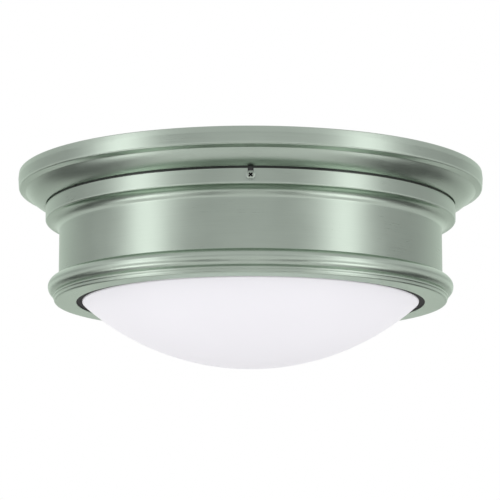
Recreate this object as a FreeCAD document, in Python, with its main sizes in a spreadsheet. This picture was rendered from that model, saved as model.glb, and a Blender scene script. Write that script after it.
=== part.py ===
import FreeCAD, Part
import math
import os
import Sketcher

# Flush ceiling light with three lamps. Lengths are in millimetres. The origin is on the
# axis at the ceiling plane, +Z points up into the ceiling, and the light hangs below it.

SIZES = [
    # Sheet metal and clearances that several pieces share
    ("sheet", 1.0, "wall of the spun steel pieces"),
    ("strap", 1.2, "thickness of the folded steel straps"),
    ("slip_gap", 0.3, "gap beside a curved face that moves"),
    ("seat_gap", 0.1, "gap between flat faces that part"),
    ("press_gap", 0.05, "gap round a fixed stem in its hole"),
    ("overrun", 5.0, "how far a cut runs past the solid"),
    # Trim pan
    ("rim_radius", 200.0, "widest radius of the rim, and so of the light"),
    ("rim_top_inset", 0.5, "how far the rim draws in at the ceiling"),
    ("rim_belly_depth", 5.0, "depth of the rim's widest line"),
    ("rim_height", 12.4, "depth where the rim starts to turn under"),
    ("rim_bead", 2.0, "radius of the rim's lower edge"),
    ("hem_width", 6.0, "width of the rim's flat hem on the ceiling"),
    ("crease_inset", 6.4, "crease inside the rim"),
    ("crease_drop", 1.4, "crease below the rim's lower edge"),
    ("ovolo_drop", 11.4, "height of the pan's rounded moulding"),
    ("ovolo_bulge", 1.0, "swell of the rounded moulding"),
    ("ovolo_land", 1.1, "flat between the rounded moulding and the flange"),
    ("flange_height", 10.6, "height of the pan's inner flange"),
    # Back pan
    ("collar_inset", 25.0, "back pan's collar inside the rim"),
    ("collar_gap", 0.5, "collar's lower edge above the ring's ledge"),
    ("plate_depth", 14.0, "depth of the back plate's upper face"),
    ("plate_corner", 2.5, "outer corner radius of the back plate"),
    ("supply_hole_radius", 11.0, "hole for the supply cable"),
    ("trim_rivet_rise", 6.6, "radial rivets above the trim pan's lower edge"),
    ("trim_rivet_radius", 1.6, "shank of a radial rivet"),
    ("trim_rivet_head_radius", 3.0, "head of a radial rivet"),
    ("trim_rivet_head_height", 1.1, "height of a radial rivet's heads"),
    # Insulation pad
    ("pad_bore_gap", 7.0, "pad's opening beyond the crossbar's ends"),
    ("pad_inset", 25.0, "pad's outer edge inside the collar"),
    ("pad_top_gap", 2.0, "pad below the ceiling"),
    # Crossbar, studs and nuts
    ("bar_end", 5.55, "crossbar beyond each box screw slot"),
    ("bar_width", 22.0, "width of the crossbar"),
    ("bar_thickness", 2.5, "thickness of the crossbar"),
    ("box_screw_spacing", 88.9, "distance between the box screws"),
    ("box_slot_length", 14.0, "end to end length of a box screw slot"),
    ("box_slot_width", 5.0, "width of a box screw slot"),
    ("bar_centre_hole_radius", 5.0, "hole in the middle of the crossbar"),
    ("stud_spacing", 50.8, "distance between the hanging studs"),
    ("stud_radius", 1.95, "outside of a stud's thread"),
    ("stud_end", 5.6, "stud below its nut"),
    ("stud_hole_gap", 0.45, "gap round a stud in the back plate"),
    ("nut_washer_width", 3.6, "washer under a nut beyond its hole"),
    ("nut_washer_height", 1.0, "thickness of that washer"),
    ("nut_flats", 7.0, "width of a nut across its flats"),
    ("nut_height", 3.2, "height of a nut"),
    # Supply bushing
    ("bushing_lip", 2.5, "bushing's lips beyond their hole"),
    ("bushing_lip_height", 1.5, "height of each lip"),
    ("bushing_wall", 3.0, "bushing's bore inside its hole"),
    # Shade ring
    ("band_gap", 1.5, "band's top edge below the trim pan"),
    ("band_height", 12.6, "height of the ring's upper band"),
    ("band_edge_round", 1.5, "rounding of the band's lower edge"),
    ("cove_land", 0.6, "flat between the band and the hollow moulding"),
    ("cove_height", 7.9, "height of the hollow moulding"),
    ("cove_bulge", 2.0, "hollow of the hollow moulding"),
    ("drum_inset", 11.9, "plain drum inside the band"),
    ("drum_height", 41.8, "height of the plain drum"),
    ("roll_step", 2.2, "large roll's flat top beyond the drum"),
    ("roll_shoulder_curve", 6.9, "radius of the roll's upper curve"),
    ("roll_drop", 6.7, "height of the roll below its widest line"),
    ("roll_tuck", 4.5, "how far the roll draws in below that line"),
    ("roll_bulge", 1.25, "swell of the roll below that line"),
    ("bead_root_drop", 0.4, "root above the upper bead, below the roll"),
    ("bead_root_inset", 0.8, "that root inside the roll's end"),
    ("upper_bead_height", 2.6, "height of the upper bead"),
    ("upper_bead_tuck", 0.2, "how far the upper bead draws in"),
    ("upper_bead_bulge", 1.02, "swell of the upper bead"),
    ("lower_bead_height", 3.0, "height of the lower bead"),
    ("lower_bead_tuck", 2.0, "how far the lower bead draws in"),
    ("lower_bead_bulge", 1.1, "swell of the lower bead"),
    ("lip_width", 16.9, "width of the flat lip under the glass"),
    # Side screws that hold the ring
    ("screw_drop", 6.0, "side screws below the band's top edge"),
    ("screw_shank_radius", 1.95, "outside of a side screw's thread"),
    ("screw_head_rim", 1.55, "side screw's head beyond its shank"),
    ("screw_head_height", 2.4, "height of the head"),
    ("screw_head_edge", 1.0, "rounded edge of the head"),
    ("screw_head_rise", 0.4, "how far the head's top bulges"),
    ("screw_length", 11.2, "length of the shank under the head"),
    ("recess_length", 3.6, "length of the cross recess"),
    ("recess_width", 0.8, "width of the cross recess"),
    ("recess_depth", 1.3, "depth of the cross recess"),
    ("screw_washer_rim", 0.4, "washer beyond the head"),
    ("screw_washer_height", 0.6, "thickness of that washer"),
    ("notch_gap", 0.35, "ring's notch beside the shank"),
    ("weld_nut_wall", 2.55, "wall of the round weld nut"),
    ("weld_nut_height", 3.5, "height of the weld nut"),
    # Lampholders
    ("lamp_drop", 39.0, "lamps' axes below the back plate"),
    ("holder_inset", 26.0, "lamps' end contacts inside the collar"),
    ("holder_wall", 4.0, "wall of the porcelain body"),
    ("holder_back", 9.0, "porcelain behind the end contact"),
    ("holder_cover", 4.0, "porcelain beyond the edge of the lamp's cap"),
    ("holder_floor", 2.0, "bore floor behind the end contact"),
    ("holder_edge", 1.0, "chamfer of the porcelain's edges"),
    ("shell_wall", 0.9, "wall of the screw shell"),
    ("shell_inset", 3.0, "screw shell's edge behind that of the cap"),
    ("shell_hole_gap", 2.0, "hole in the shell's base round the end contact"),
    ("contact_disc_radius", 4.0, "end contact of the lampholder"),
    ("contact_stem_radius", 2.0, "neck of the end contact"),
    ("contact_disc_height", 0.6, "thickness of the end contact's disc"),
    ("holder_screw_offset", 10.0, "holder screws above and below the axis"),
    ("holder_screw_radius", 1.45, "shank of a holder screw"),
    ("holder_screw_head", 2.8, "head radius of a holder screw"),
    ("holder_screw_head_height", 1.8, "head height of a holder screw"),
    ("holder_screw_grip", 5.5, "how deep a holder screw goes in"),
    ("bracket_width", 18.0, "width of a lampholder bracket"),
    ("bracket_foot", 23.0, "length of the bracket's foot"),
    ("bracket_drop", 15.0, "bracket below the lamp's axis"),
    ("foot_rivet_inset", 8.0, "foot rivets from the foot's free end"),
    ("foot_rivet_spacing", 9.0, "distance between the two foot rivets"),
    ("foot_rivet_radius", 1.9, "shank of a foot rivet"),
    ("foot_rivet_head", 3.4, "head radius of a foot rivet"),
    ("foot_rivet_head_height", 1.0, "head height of a foot rivet"),
    # Lamps
    ("bulb_length", 104.0, "length of a lamp"),
    ("bulb_radius", 30.0, "widest radius of the lamp's globe"),
    ("bulb_wall", 1.2, "wall of the globe"),
    ("bulb_shoulder_inset", 4.0, "neck's meeting with the sphere inside its widest radius"),
    ("bulb_neck_gap", 0.2, "gap between the globe's neck and the cap"),
    ("bulb_neck_grip", 7.0, "how deep the neck sits in the cap"),
    ("bulb_neck_rise", 3.0, "neck beyond the cap before it widens"),
    ("cap_radius", 13.0, "outside of the cap's thread"),
    ("cap_gap", 1.0, "gap between the cap's thread and the screw shell"),
    ("cap_wall", 0.5, "wall of the cap at the thread's root"),
    ("cap_floor", 6.0, "floor of the cap's bore"),
    ("cap_rim", 4.35, "plain edge of the cap beyond the thread"),
    ("thread_start", 4.5, "where the cap's thread starts"),
    ("thread_height", 0.7, "height of the thread"),
    ("thread_pitch", 3.63, "pitch of the thread"),
    ("tip_radius", 4.5, "end contact of the lamp"),
    ("tip_bevel", 1.0, "bevel of the lamp's end contact"),
    ("tip_height", 1.3, "height of the lamp's end contact"),
    # Glass and gasket
    ("glass_wall", 4.0, "thickness of the glass"),
    ("glass_gap", 5.1, "gap between the glass and the lip's edge"),
    ("glass_overhang", 1.0, "glass's flange beyond the gasket"),
    ("glass_drop", 54.4, "how far the glass hangs below the lip"),
    ("gasket_width", 9.4, "width of the gasket's seat on the lip"),
    ("gasket_height", 1.0, "thickness of the gasket"),
    # Wiring
    ("wire_radius", 1.0, "outside of an insulated lead"),
    ("run_gap", 1.0, "gap between the back plate and the upper layer of leads"),
    ("layer_gap", 0.2, "gap between two layers of leads"),
    ("lead_inset", 6.0, "lead holes inside the porcelain's outer face"),
    ("lead_hole_gap", 0.25, "gap round a lead in the porcelain"),
    ("lead_hole_inset", 3.5, "lead holes from the porcelain's back"),
    ("lead_hole_floor", 8.0, "floor of the lead holes above the axis"),
    ("lead_corner_radius", 26.0, "largest bend of a lead"),
    ("lead_approach", 24.0, "straight end of a lead before the terminal block"),
    ("outer_turn", 8.0, "black leads turn this far outside their pole"),
    ("inner_turn", 1.0, "white leads turn this far inside their pole"),
    ("earth_lead_end", 7.4, "straight end of the earth lead before its eyelet"),
    # Terminal block
    ("block_inset", 75.0, "terminal block's middle inside the collar"),
    ("pole_pitch", 8.0, "distance between the block's poles"),
    ("block_end", 4.5, "block beyond its outer poles"),
    ("block_width", 16.0, "size of the block across"),
    ("block_height", 12.0, "height of the block"),
    ("pole_gap", 0.4, "gap round the two leads of a pole"),
    ("clamp_screw_radius", 1.8, "outside of a clamp screw"),
    ("clamp_screw_offset", 4.5, "clamp screws from the block's middle"),
    ("clamp_screw_gap", 0.1, "gap between a clamp screw and the leads"),
    ("block_screw_radius", 1.2, "outside of a block screw"),
    ("lead_reach", 2.0, "lead ends from the block's middle"),
    # Earth screw and lead clips
    ("earth_inset", 20.0, "earth screw nearer the centre than the block's middle"),
    ("earth_screw_radius", 1.7, "shank of the earth screw"),
    ("earth_head_radius", 3.6, "head of the earth screw"),
    ("earth_head_height", 2.0, "height of the earth screw's head"),
    ("eyelet_radius", 3.6, "outside of the earth eyelet"),
    ("eyelet_height", 2.2, "height of the earth eyelet"),
    ("clip_length", 8.0, "length of a lead clip along the leads"),
    ("clip_margin", 3.0, "clip's channel beyond the leads"),
    ("clip_foot", 5.0, "width of each foot of a clip"),
    ("clip_wall", 0.8, "wall of a lead clip"),
]

# Angles round the axis, in degrees, from +X towards +Y
SCREW_ANGLES = [270, 30, 150]
LAMP_ANGLES = [90, 210, 330]
BLOCK_ANGLE = 270
EARTH_ANGLE = 300
# Side of the eyelet that the earth lead meets
EARTH_LEAD_ANGLE = 240
# Angles that the first lamp's leads pass on their way to the block
ROUTE_ANGLES = [136, 178, 214]
RIVET_COUNT = 6
THREAD_TURNS = 5

# Share of the shorter of its two runs that a lead's bend uses up
BEND_SHARE = 0.45

os.makedirs("parts", exist_ok=True)
doc = FreeCAD.newDocument("CeilingLight")
sheet = doc.addObject("Spreadsheet::Sheet", "Sizes")
for row, (alias, number, words) in enumerate(SIZES, start=1):
    sheet.set(f"A{row}", words)
    sheet.set(f"B{row}", str(number))
    sheet.setAlias(f"B{row}", alias)
doc.recompute()


class Size:
    """A length as words that the sheet understands, with its value now."""

    def __init__(self, text, value):
        self.text = text
        self.value = value

    def __add__(self, other):
        other = as_size(other)
        return Size(f"({self.text} + {other.text})", self.value + other.value)

    def __sub__(self, other):
        other = as_size(other)
        return Size(f"({self.text} - {other.text})", self.value - other.value)

    def __mul__(self, other):
        other = as_size(other)
        return Size(f"({self.text} * {other.text})", self.value * other.value)

    def __truediv__(self, other):
        other = as_size(other)
        return Size(f"({self.text} / {other.text})", self.value / other.value)

    def __neg__(self):
        return Size(f"(0 - {self.text})", -self.value)

    __rmul__ = __mul__


class Sheet:
    """Gives each named cell of the sheet as a Size."""

    def __getattr__(self, alias):
        return Size(f"Sizes.{alias}", float(sheet.get(alias)))


def as_size(number):
    """Wrap a plain count or ratio; a Size comes back as it is."""
    return number if isinstance(number, Size) else Size(str(number), float(number))


def root(size):
    """Square root of a product of two lengths."""
    return Size(f"sqrt({size.text})", math.sqrt(size.value))


def curve_of(across, along, bulge):
    """Radius of the arc over a chord of this width and height that swells by bulge."""
    return (across * across + along * along) / (bulge * 8) + bulge / 2


s = Sheet()
ZERO = Size("0", 0.0)
LEFT = 1
RIGHT = -1
UP = FreeCAD.Vector(0, 0, 1)

# Radii from the axis and depths below the ceiling that follow from the sizes
crease_radius = s.rim_radius - s.crease_inset
collar_radius = s.rim_radius - s.collar_inset
flange_radius = collar_radius + s.seat_gap
ovolo_end_radius = flange_radius + s.sheet + s.ovolo_land
crease_depth = s.rim_height + s.rim_bead + s.crease_drop
trim_depth = crease_depth + s.ovolo_drop
flange_top_depth = trim_depth - s.flange_height
trim_rivet_depth = trim_depth - s.trim_rivet_rise
plate_under = s.plate_depth + s.sheet

band_radius = collar_radius + s.slip_gap + s.sheet
band_top_depth = trim_depth + s.band_gap
band_edge_depth = band_top_depth + s.band_height
collar_depth = band_edge_depth - s.sheet - s.collar_gap
screw_depth = band_top_depth + s.screw_drop
cove_start_radius = band_radius - s.band_edge_round - s.cove_land
drum_radius = band_radius - s.drum_inset
drum_top_depth = band_edge_depth + s.cove_height
roll_top_depth = drum_top_depth + s.drum_height
roll_middle_depth = roll_top_depth + s.roll_shoulder_curve
roll_top_radius = drum_radius + s.roll_step
roll_radius = roll_top_radius + s.roll_shoulder_curve
roll_end_radius = roll_radius - s.roll_tuck
roll_end_depth = roll_middle_depth + s.roll_drop
bead_root_radius = roll_end_radius - s.bead_root_inset
bead_root_depth = roll_end_depth + s.bead_root_drop
bead_middle_radius = bead_root_radius - s.upper_bead_tuck
bead_middle_depth = bead_root_depth + s.upper_bead_height
lip_radius = bead_middle_radius - s.lower_bead_tuck
lip_bore_radius = lip_radius - s.lip_width
ring_depth = bead_middle_depth + s.lower_bead_height
gasket_radius = lip_bore_radius + s.gasket_width

contact_distance = collar_radius - s.holder_inset
lamp_depth = plate_under + s.lamp_drop
cap_root_radius = s.cap_radius - s.thread_height
cap_bore_radius = cap_root_radius - s.cap_wall
cap_front = s.thread_start + s.thread_pitch * THREAD_TURNS + s.cap_rim
holder_bore_radius = s.cap_radius + s.cap_gap + s.shell_wall + s.seat_gap
holder_radius = holder_bore_radius + s.holder_wall
holder_front = cap_front + s.holder_cover
lead_side = holder_radius - s.lead_inset

block_distance = collar_radius - s.block_inset
earth_distance = block_distance - s.earth_inset
upper_run_depth = plate_under + s.run_gap + s.wire_radius
lower_run_depth = upper_run_depth + s.wire_radius * 2 + s.layer_gap
pole_depth = (upper_run_depth + lower_run_depth) / 2
pole_bore_radius = s.wire_radius * 2 + s.layer_gap / 2 + s.pole_gap


# Sketches and features

def new_body(label):
    """An empty body with its own label."""
    body = doc.addObject("PartDesign::Body", label)
    body.Label = label
    return body


def new_sketch(body, plane, lift=None):
    """A sketch on one of the body's own planes, moved along the plane's normal by lift."""
    sketch = body.newObject("Sketcher::SketchObject", body.Name + "_sketch")
    face = [item for item in body.Origin.OriginFeatures if item.Role == plane][0]
    sketch.AttachmentSupport = [(face, "")]
    sketch.MapMode = "FlatFace"
    if lift is not None:
        sketch.setExpression("AttachmentOffset.Base.z", lift.text)
    return sketch


def constrain(sketch, kind, geometry, size):
    """Add a constraint whose value follows the sheet."""
    index = sketch.addConstraint(Sketcher.Constraint(kind, *geometry, size.value))
    sketch.setExpression(f"Constraints[{index}]", size.text)


def pin(sketch, edge, end, across, along):
    """Hold one end of an edge, or a circle's centre, at a place in the sketch."""
    for kind, axis, place in (("DistanceX", -2, across), ("DistanceY", -1, along)):
        if place.text == "0":
            sketch.addConstraint(Sketcher.Constraint("PointOnObject", edge, end, axis))
        else:
            constrain(sketch, kind, (-1, 1, edge, end), place)


def outline(sketch, corners):
    """Draw a closed outline through the corners.

    A corner is (across, along), or (across, along, radius, side) when an arc reaches it
    from the corner before. The arc's centre lies to that side of the way from one to the other.
    """
    count = len(corners)
    ends = []
    for index in range(count):
        here = corners[index]
        after = corners[(index + 1) % count]
        start = FreeCAD.Vector(here[0].value, here[1].value, 0)
        stop = FreeCAD.Vector(after[0].value, after[1].value, 0)
        if len(after) == 2:
            edge = sketch.addGeometry(Part.LineSegment(start, stop))
            ends.append((edge, 1, 2))
            continue
        radius, side = after[2], after[3]
        way = stop - start
        half = way.Length / 2
        reach = math.sqrt(max(radius.value ** 2 - half ** 2, 0.0))
        left = FreeCAD.Vector(-way.y, way.x, 0).normalize()
        centre = (start + stop) / 2 + left * (reach * side)
        first, last = (start, stop) if side == LEFT else (stop, start)
        angles = [math.atan2(point.y - centre.y, point.x - centre.x) for point in (first, last)]
        circle = Part.Circle(centre, UP, radius.value)
        edge = sketch.addGeometry(Part.ArcOfCircle(circle, angles[0], angles[1]))
        ends.append((edge, 1, 2) if side == LEFT else (edge, 2, 1))
        constrain(sketch, "Radius", (edge,), radius)
    for index in range(count):
        edge, begin, _ = ends[index]
        before, _, finish = ends[index - 1]
        pin(sketch, edge, begin, corners[index][0], corners[index][1])
        sketch.addConstraint(Sketcher.Constraint("Coincident", before, finish, edge, begin))


def rectangle(sketch, low_across, high_across, low_along, high_along):
    """Draw a rectangle between four lines."""
    outline(sketch, [(low_across, low_along), (high_across, low_along),
                     (high_across, high_along), (low_across, high_along)])


def circle(sketch, across, along, radius):
    """Draw a circle."""
    centre = FreeCAD.Vector(across.value, along.value, 0)
    edge = sketch.addGeometry(Part.Circle(centre, UP, radius.value))
    constrain(sketch, "Radius", (edge,), radius)
    pin(sketch, edge, 3, across, along)


def revolve(body, sketch):
    """Turn a sketch round the body's own Z axis."""
    feature = body.newObject("PartDesign::Revolution", body.Name + "_turn")
    feature.Profile = sketch
    feature.ReferenceAxis = (sketch, ["V_Axis"])
    feature.Angle = 360
    doc.recompute()
    return feature


def turned(label, corners):
    """A body turned round its own Z axis from an outline of radius and height."""
    body = new_body(label)
    sketch = new_sketch(body, "XZ_Plane")
    outline(sketch, corners)
    revolve(body, sketch)
    return body


def pad(body, sketch, length, middle=False, away=False):
    """Give a sketch a thickness, to one side or to both."""
    feature = body.newObject("PartDesign::Pad", body.Name + "_pad")
    feature.Profile = sketch
    feature.setExpression("Length", length.text)
    feature.SideType = "Symmetric" if middle else "One side"
    feature.Reversed = away
    doc.recompute()
    return feature


def pocket(body, sketch, length=None, forward=False, middle=False):
    """Cut a sketch out of a body, against the sketch's normal unless forward is set.

    Without a length the cut goes all the way through. A cut that removes nothing stops the
    script, because it would point away from the solid.
    """
    before = body.Shape.Volume
    feature = body.newObject("PartDesign::Pocket", body.Name + "_cut")
    feature.Profile = sketch
    feature.SideType = "Symmetric" if middle else "One side"
    feature.Reversed = forward
    if length is None:
        feature.Type = "ThroughAll"
    else:
        feature.Type = "Length"
        feature.setExpression("Length", length.text)
    doc.recompute()
    if body.Shape.Volume >= before:
        raise RuntimeError(f"the cut in {body.Label} removes nothing")
    return feature


def around(body, features, count):
    """Repeat features evenly round the body's own Z axis."""
    axis = [item for item in body.Origin.OriginFeatures if item.Role == "Z_Axis"][0]
    pattern = body.newObject("PartDesign::PolarPattern", body.Name + "_round")
    pattern.Originals = features
    pattern.Axis = (axis, [""])
    pattern.Angle = 360
    pattern.Occurrences = count
    body.Tip = pattern
    doc.recompute()
    return pattern


def group(label, members):
    """Several equal pieces that share one node."""
    whole = doc.addObject("Part::Compound", label)
    whole.Label = label
    whole.Links = members
    return whole


# Places

def rotation_from(across, beside, along):
    """The turn that takes the X, Y and Z axes to three directions."""
    matrix = FreeCAD.Matrix(across.x, beside.x, along.x, 0,
                            across.y, beside.y, along.y, 0,
                            across.z, beside.z, along.z, 0,
                            0, 0, 0, 1)
    return FreeCAD.Rotation(matrix)


def outward(angle):
    """Unit vector away from the axis at an angle."""
    return FreeCAD.Vector(math.cos(math.radians(angle)), math.sin(math.radians(angle)), 0)


def sideways(angle):
    """Unit vector along the circle, anticlockwise seen from above."""
    return FreeCAD.Vector(-math.sin(math.radians(angle)), math.cos(math.radians(angle)), 0)


def place_radially(piece, angle, distance, depth, inwards=False):
    """Lay a piece's Z axis along a radius of the light, with its X axis up."""
    along = outward(angle) * (-1 if inwards else 1)
    base = outward(angle) * distance.value - UP * depth.value
    beside = along.cross(UP)
    piece.Placement = FreeCAD.Placement(base, rotation_from(UP, beside, along))
    return piece


def place_below(piece, x, y):
    """Move a piece sideways from the axis."""
    piece.Placement = FreeCAD.Placement(FreeCAD.Vector(x.value, y.value, 0), FreeCAD.Rotation())
    return piece


def turn_round(piece, angle):
    """Turn a piece round the light's axis."""
    piece.Placement = FreeCAD.Placement(FreeCAD.Vector(), FreeCAD.Rotation(UP, angle))
    return piece


NODES = []


def keep(piece):
    """Put a finished piece on the list of nodes."""
    NODES.append(piece)
    return piece


# Trim pan: a barrelled rim, a crease and a rounded moulding that ends at the collar

def make_trim_pan():
    """The nickel-plated pan that meets the ceiling."""
    bead_centre = s.rim_radius - s.rim_bead
    bead_bottom = s.rim_height + s.rim_bead
    ovolo_curve = curve_of(crease_radius - ovolo_end_radius, s.ovolo_drop, s.ovolo_bulge)
    body = turned("trim_ring", [
        (s.rim_radius - s.rim_top_inset - s.hem_width, ZERO),
        (s.rim_radius - s.rim_top_inset, ZERO),
        (s.rim_radius, -s.rim_belly_depth),
        (s.rim_radius, -s.rim_height),
        (bead_centre, -bead_bottom, s.rim_bead, RIGHT),
        (crease_radius, -crease_depth),
        (ovolo_end_radius, -trim_depth, ovolo_curve, RIGHT),
        (flange_radius, -trim_depth),
        (flange_radius, -flange_top_depth),
        (flange_radius + s.sheet, -flange_top_depth),
        (flange_radius + s.sheet, s.sheet - trim_depth),
        (ovolo_end_radius, s.sheet - trim_depth),
        (crease_radius - s.sheet, s.sheet - crease_depth, ovolo_curve - s.sheet, LEFT),
        (bead_centre, s.sheet - bead_bottom),
        (s.rim_radius - s.sheet, -s.rim_height, s.rim_bead - s.sheet, LEFT),
        (s.rim_radius - s.sheet, -s.rim_belly_depth),
        (s.rim_radius - s.rim_top_inset - s.sheet, -s.sheet),
        (s.rim_radius - s.rim_top_inset - s.hem_width, -s.sheet),
    ])
    sketch = new_sketch(body, "YZ_Plane")
    circle(sketch, ZERO, -trim_rivet_depth, s.trim_rivet_radius + s.press_gap)
    hole = pocket(body, sketch, flange_radius + s.sheet + s.seat_gap, forward=True)
    around(body, [hole], RIVET_COUNT)
    return keep(body)


# Back pan: the white plate and collar that carry everything else

def make_back_pan():
    """The white pan inside, with the holes for all that it carries."""
    corner = s.plate_corner
    body = turned("back_pan", [
        (s.supply_hole_radius, -s.plate_depth),
        (collar_radius - corner, -s.plate_depth),
        (collar_radius, -s.plate_depth - corner, corner, RIGHT),
        (collar_radius, -collar_depth),
        (collar_radius - s.sheet, -collar_depth),
        (collar_radius - s.sheet, -s.plate_depth - corner),
        (collar_radius - corner, -plate_under, corner - s.sheet, LEFT),
        (s.supply_hole_radius, -plate_under),
    ])
    studs = new_sketch(body, "XY_Plane")
    for side in (LEFT, RIGHT):
        circle(studs, s.stud_spacing * side / 2, ZERO, s.stud_radius + s.stud_hole_gap)
    pocket(body, studs)
    screws = new_sketch(body, "XZ_Plane")
    circle(screws, ZERO, -screw_depth, s.screw_shank_radius + s.slip_gap)
    hole = pocket(body, screws, collar_radius + s.overrun, forward=True)
    around(body, [hole], len(SCREW_ANGLES))
    rivets = new_sketch(body, "YZ_Plane")
    circle(rivets, ZERO, -trim_rivet_depth, s.trim_rivet_radius + s.press_gap)
    hole = pocket(body, rivets, collar_radius + s.overrun, forward=True)
    around(body, [hole], RIVET_COUNT)
    feet = new_sketch(body, "XY_Plane")
    for side in (LEFT, RIGHT):
        circle(feet, s.foot_rivet_spacing * side / 2, foot_rivet_distance(),
               s.foot_rivet_radius + s.press_gap)
    holes = pocket(body, feet)
    around(body, [holes], len(LAMP_ANGLES))
    small = new_sketch(body, "XY_Plane")
    for side in (LEFT, RIGHT):
        circle(small, ZERO, -(block_distance + s.pole_pitch * side / 2),
               s.block_screw_radius + s.press_gap)
    earth = outward(EARTH_ANGLE)
    circle(small, earth_distance * earth.x, earth_distance * earth.y,
           s.earth_screw_radius + s.press_gap)
    pocket(body, small)
    return keep(body)


def foot_rivet_distance():
    """How far the bracket's foot rivets are from the light's axis."""
    return bracket_face() + s.strap - s.bracket_foot + s.foot_rivet_inset


def bracket_face():
    """How far the bracket's upright is from the axis, on the porcelain's side."""
    return contact_distance + s.holder_back


def flat_inside_collar(radius):
    """How far out a flat round face of this radius goes before it meets the collar."""
    inner = collar_radius - s.sheet
    return root(inner * inner - radius * radius)


def make_pan_rivets():
    """Radial rivets that join the trim pan's flange to the back pan's collar."""
    head, height = s.trim_rivet_head_radius, s.trim_rivet_head_height
    grip_inner = flat_inside_collar(head)
    grip_outer = flange_radius + s.sheet
    rivets = []
    for index in range(RIVET_COUNT):
        rivet = turned(f"pan_rivet_{index + 1}", [
            (ZERO, -height),
            (head - s.press_gap, -height),
            (head, ZERO),
            (s.trim_rivet_radius, ZERO),
            (s.trim_rivet_radius, grip_outer - grip_inner),
            (head, grip_outer - grip_inner),
            (head - s.press_gap, grip_outer - grip_inner + height),
            (ZERO, grip_outer - grip_inner + height),
        ])
        place_radially(rivet, 360 * index / RIVET_COUNT, grip_inner, trim_rivet_depth)
        rivets.append(rivet)
    return keep(group("pan_rivets", rivets))


def make_insulation_pad():
    """The mineral fibre pad between the back plate and the ceiling."""
    bore = bar_length() / 2 + s.pad_bore_gap
    outer = collar_radius - s.pad_inset
    return keep(turned("insulation_pad", [
        (bore, -s.plate_depth), (bore, -s.pad_top_gap),
        (outer, -s.pad_top_gap), (outer, -s.plate_depth)]))


# Crossbar and the studs, washers and nuts that hang the pan from it

def bar_length():
    """Length of the crossbar."""
    return s.box_screw_spacing + s.box_slot_length + s.bar_end * 2


def nut_top_depth():
    """Depth of the upper face of a nut under its washer."""
    return plate_under + s.seat_gap + s.nut_washer_height + s.seat_gap


def make_crossbar():
    """The flat bar that screws to the ceiling box."""
    body = new_body("mounting_crossbar")
    plan = new_sketch(body, "XY_Plane")
    half = bar_length() / 2
    rectangle(plan, -half, half, -s.bar_width / 2, s.bar_width / 2)
    pad(body, plan, s.bar_thickness, away=True)
    holes = new_sketch(body, "XY_Plane")
    circle(holes, ZERO, ZERO, s.bar_centre_hole_radius)
    half_width = s.box_slot_width / 2
    straight = s.box_slot_length / 2 - half_width
    for side in (LEFT, RIGHT):
        middle = s.box_screw_spacing * side / 2
        outline(holes, [
            (middle - straight, -half_width, half_width, LEFT),
            (middle + straight, -half_width),
            (middle + straight + half_width, ZERO, half_width, LEFT),
            (middle + straight, half_width, half_width, LEFT),
            (middle - straight, half_width),
            (middle - straight - half_width, ZERO, half_width, LEFT),
        ])
        circle(holes, s.stud_spacing * side / 2, ZERO, s.stud_radius + s.press_gap)
    pocket(body, holes)
    return keep(body)


def make_studs():
    """Two threaded studs that hang from the crossbar."""
    studs = []
    length = nut_top_depth() + s.nut_height + s.stud_end
    for index, side in enumerate((LEFT, RIGHT), start=1):
        stud = turned(f"mounting_stud_{index}", [
            (ZERO, ZERO), (s.stud_radius, ZERO),
            (s.stud_radius, s.sheet - length),
            (s.stud_radius - s.sheet / 2, -length), (ZERO, -length)])
        studs.append(place_below(stud, s.stud_spacing * side / 2, ZERO))
    return keep(group("mounting_studs", studs))


def make_stud_nuts():
    """A washer and a hexagon nut on each stud, under the back plate."""
    washer_top = plate_under + s.seat_gap
    nut_top = nut_top_depth()
    hole_radius = s.stud_radius + s.stud_hole_gap
    washer_radius = hole_radius + s.nut_washer_width
    bore = s.stud_radius + s.press_gap
    for index, side in enumerate((LEFT, RIGHT), start=1):
        middle = s.stud_spacing * side / 2
        washer = turned(f"stud_washer_{index}", [
            (hole_radius, -washer_top), (washer_radius, -washer_top),
            (washer_radius, -washer_top - s.nut_washer_height),
            (hole_radius, -washer_top - s.nut_washer_height)])
        keep(place_below(washer, middle, ZERO))
        body = new_body(f"mounting_nut_{index}")
        plan = new_sketch(body, "XY_Plane", -nut_top)
        half = s.nut_flats / 2
        corner = s.nut_flats / root(as_size(3))
        outline(plan, [(corner, ZERO), (corner / 2, half), (-corner / 2, half),
                       (-corner, ZERO), (-corner / 2, -half), (corner / 2, -half)])
        pad(body, plan, s.nut_height, away=True)
        hole = new_sketch(body, "XY_Plane")
        circle(hole, ZERO, ZERO, bore)
        pocket(body, hole)
        keep(place_below(body, middle, ZERO))


def make_bushing():
    """The plastic bushing in the supply hole."""
    neck = s.supply_hole_radius - s.press_gap
    bore = s.supply_hole_radius - s.bushing_wall
    lip = s.supply_hole_radius + s.bushing_lip
    top = s.bushing_lip_height - s.plate_depth
    bottom = -plate_under - s.bushing_lip_height
    return keep(turned("supply_bushing", [
        (bore, top), (lip, top), (lip, -s.plate_depth), (neck, -s.plate_depth),
        (neck, -plate_under), (lip, -plate_under), (lip, bottom), (bore, bottom)]))


# Shade ring: band, hollow moulding, drum, large roll, two beads and the flat lip

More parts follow.
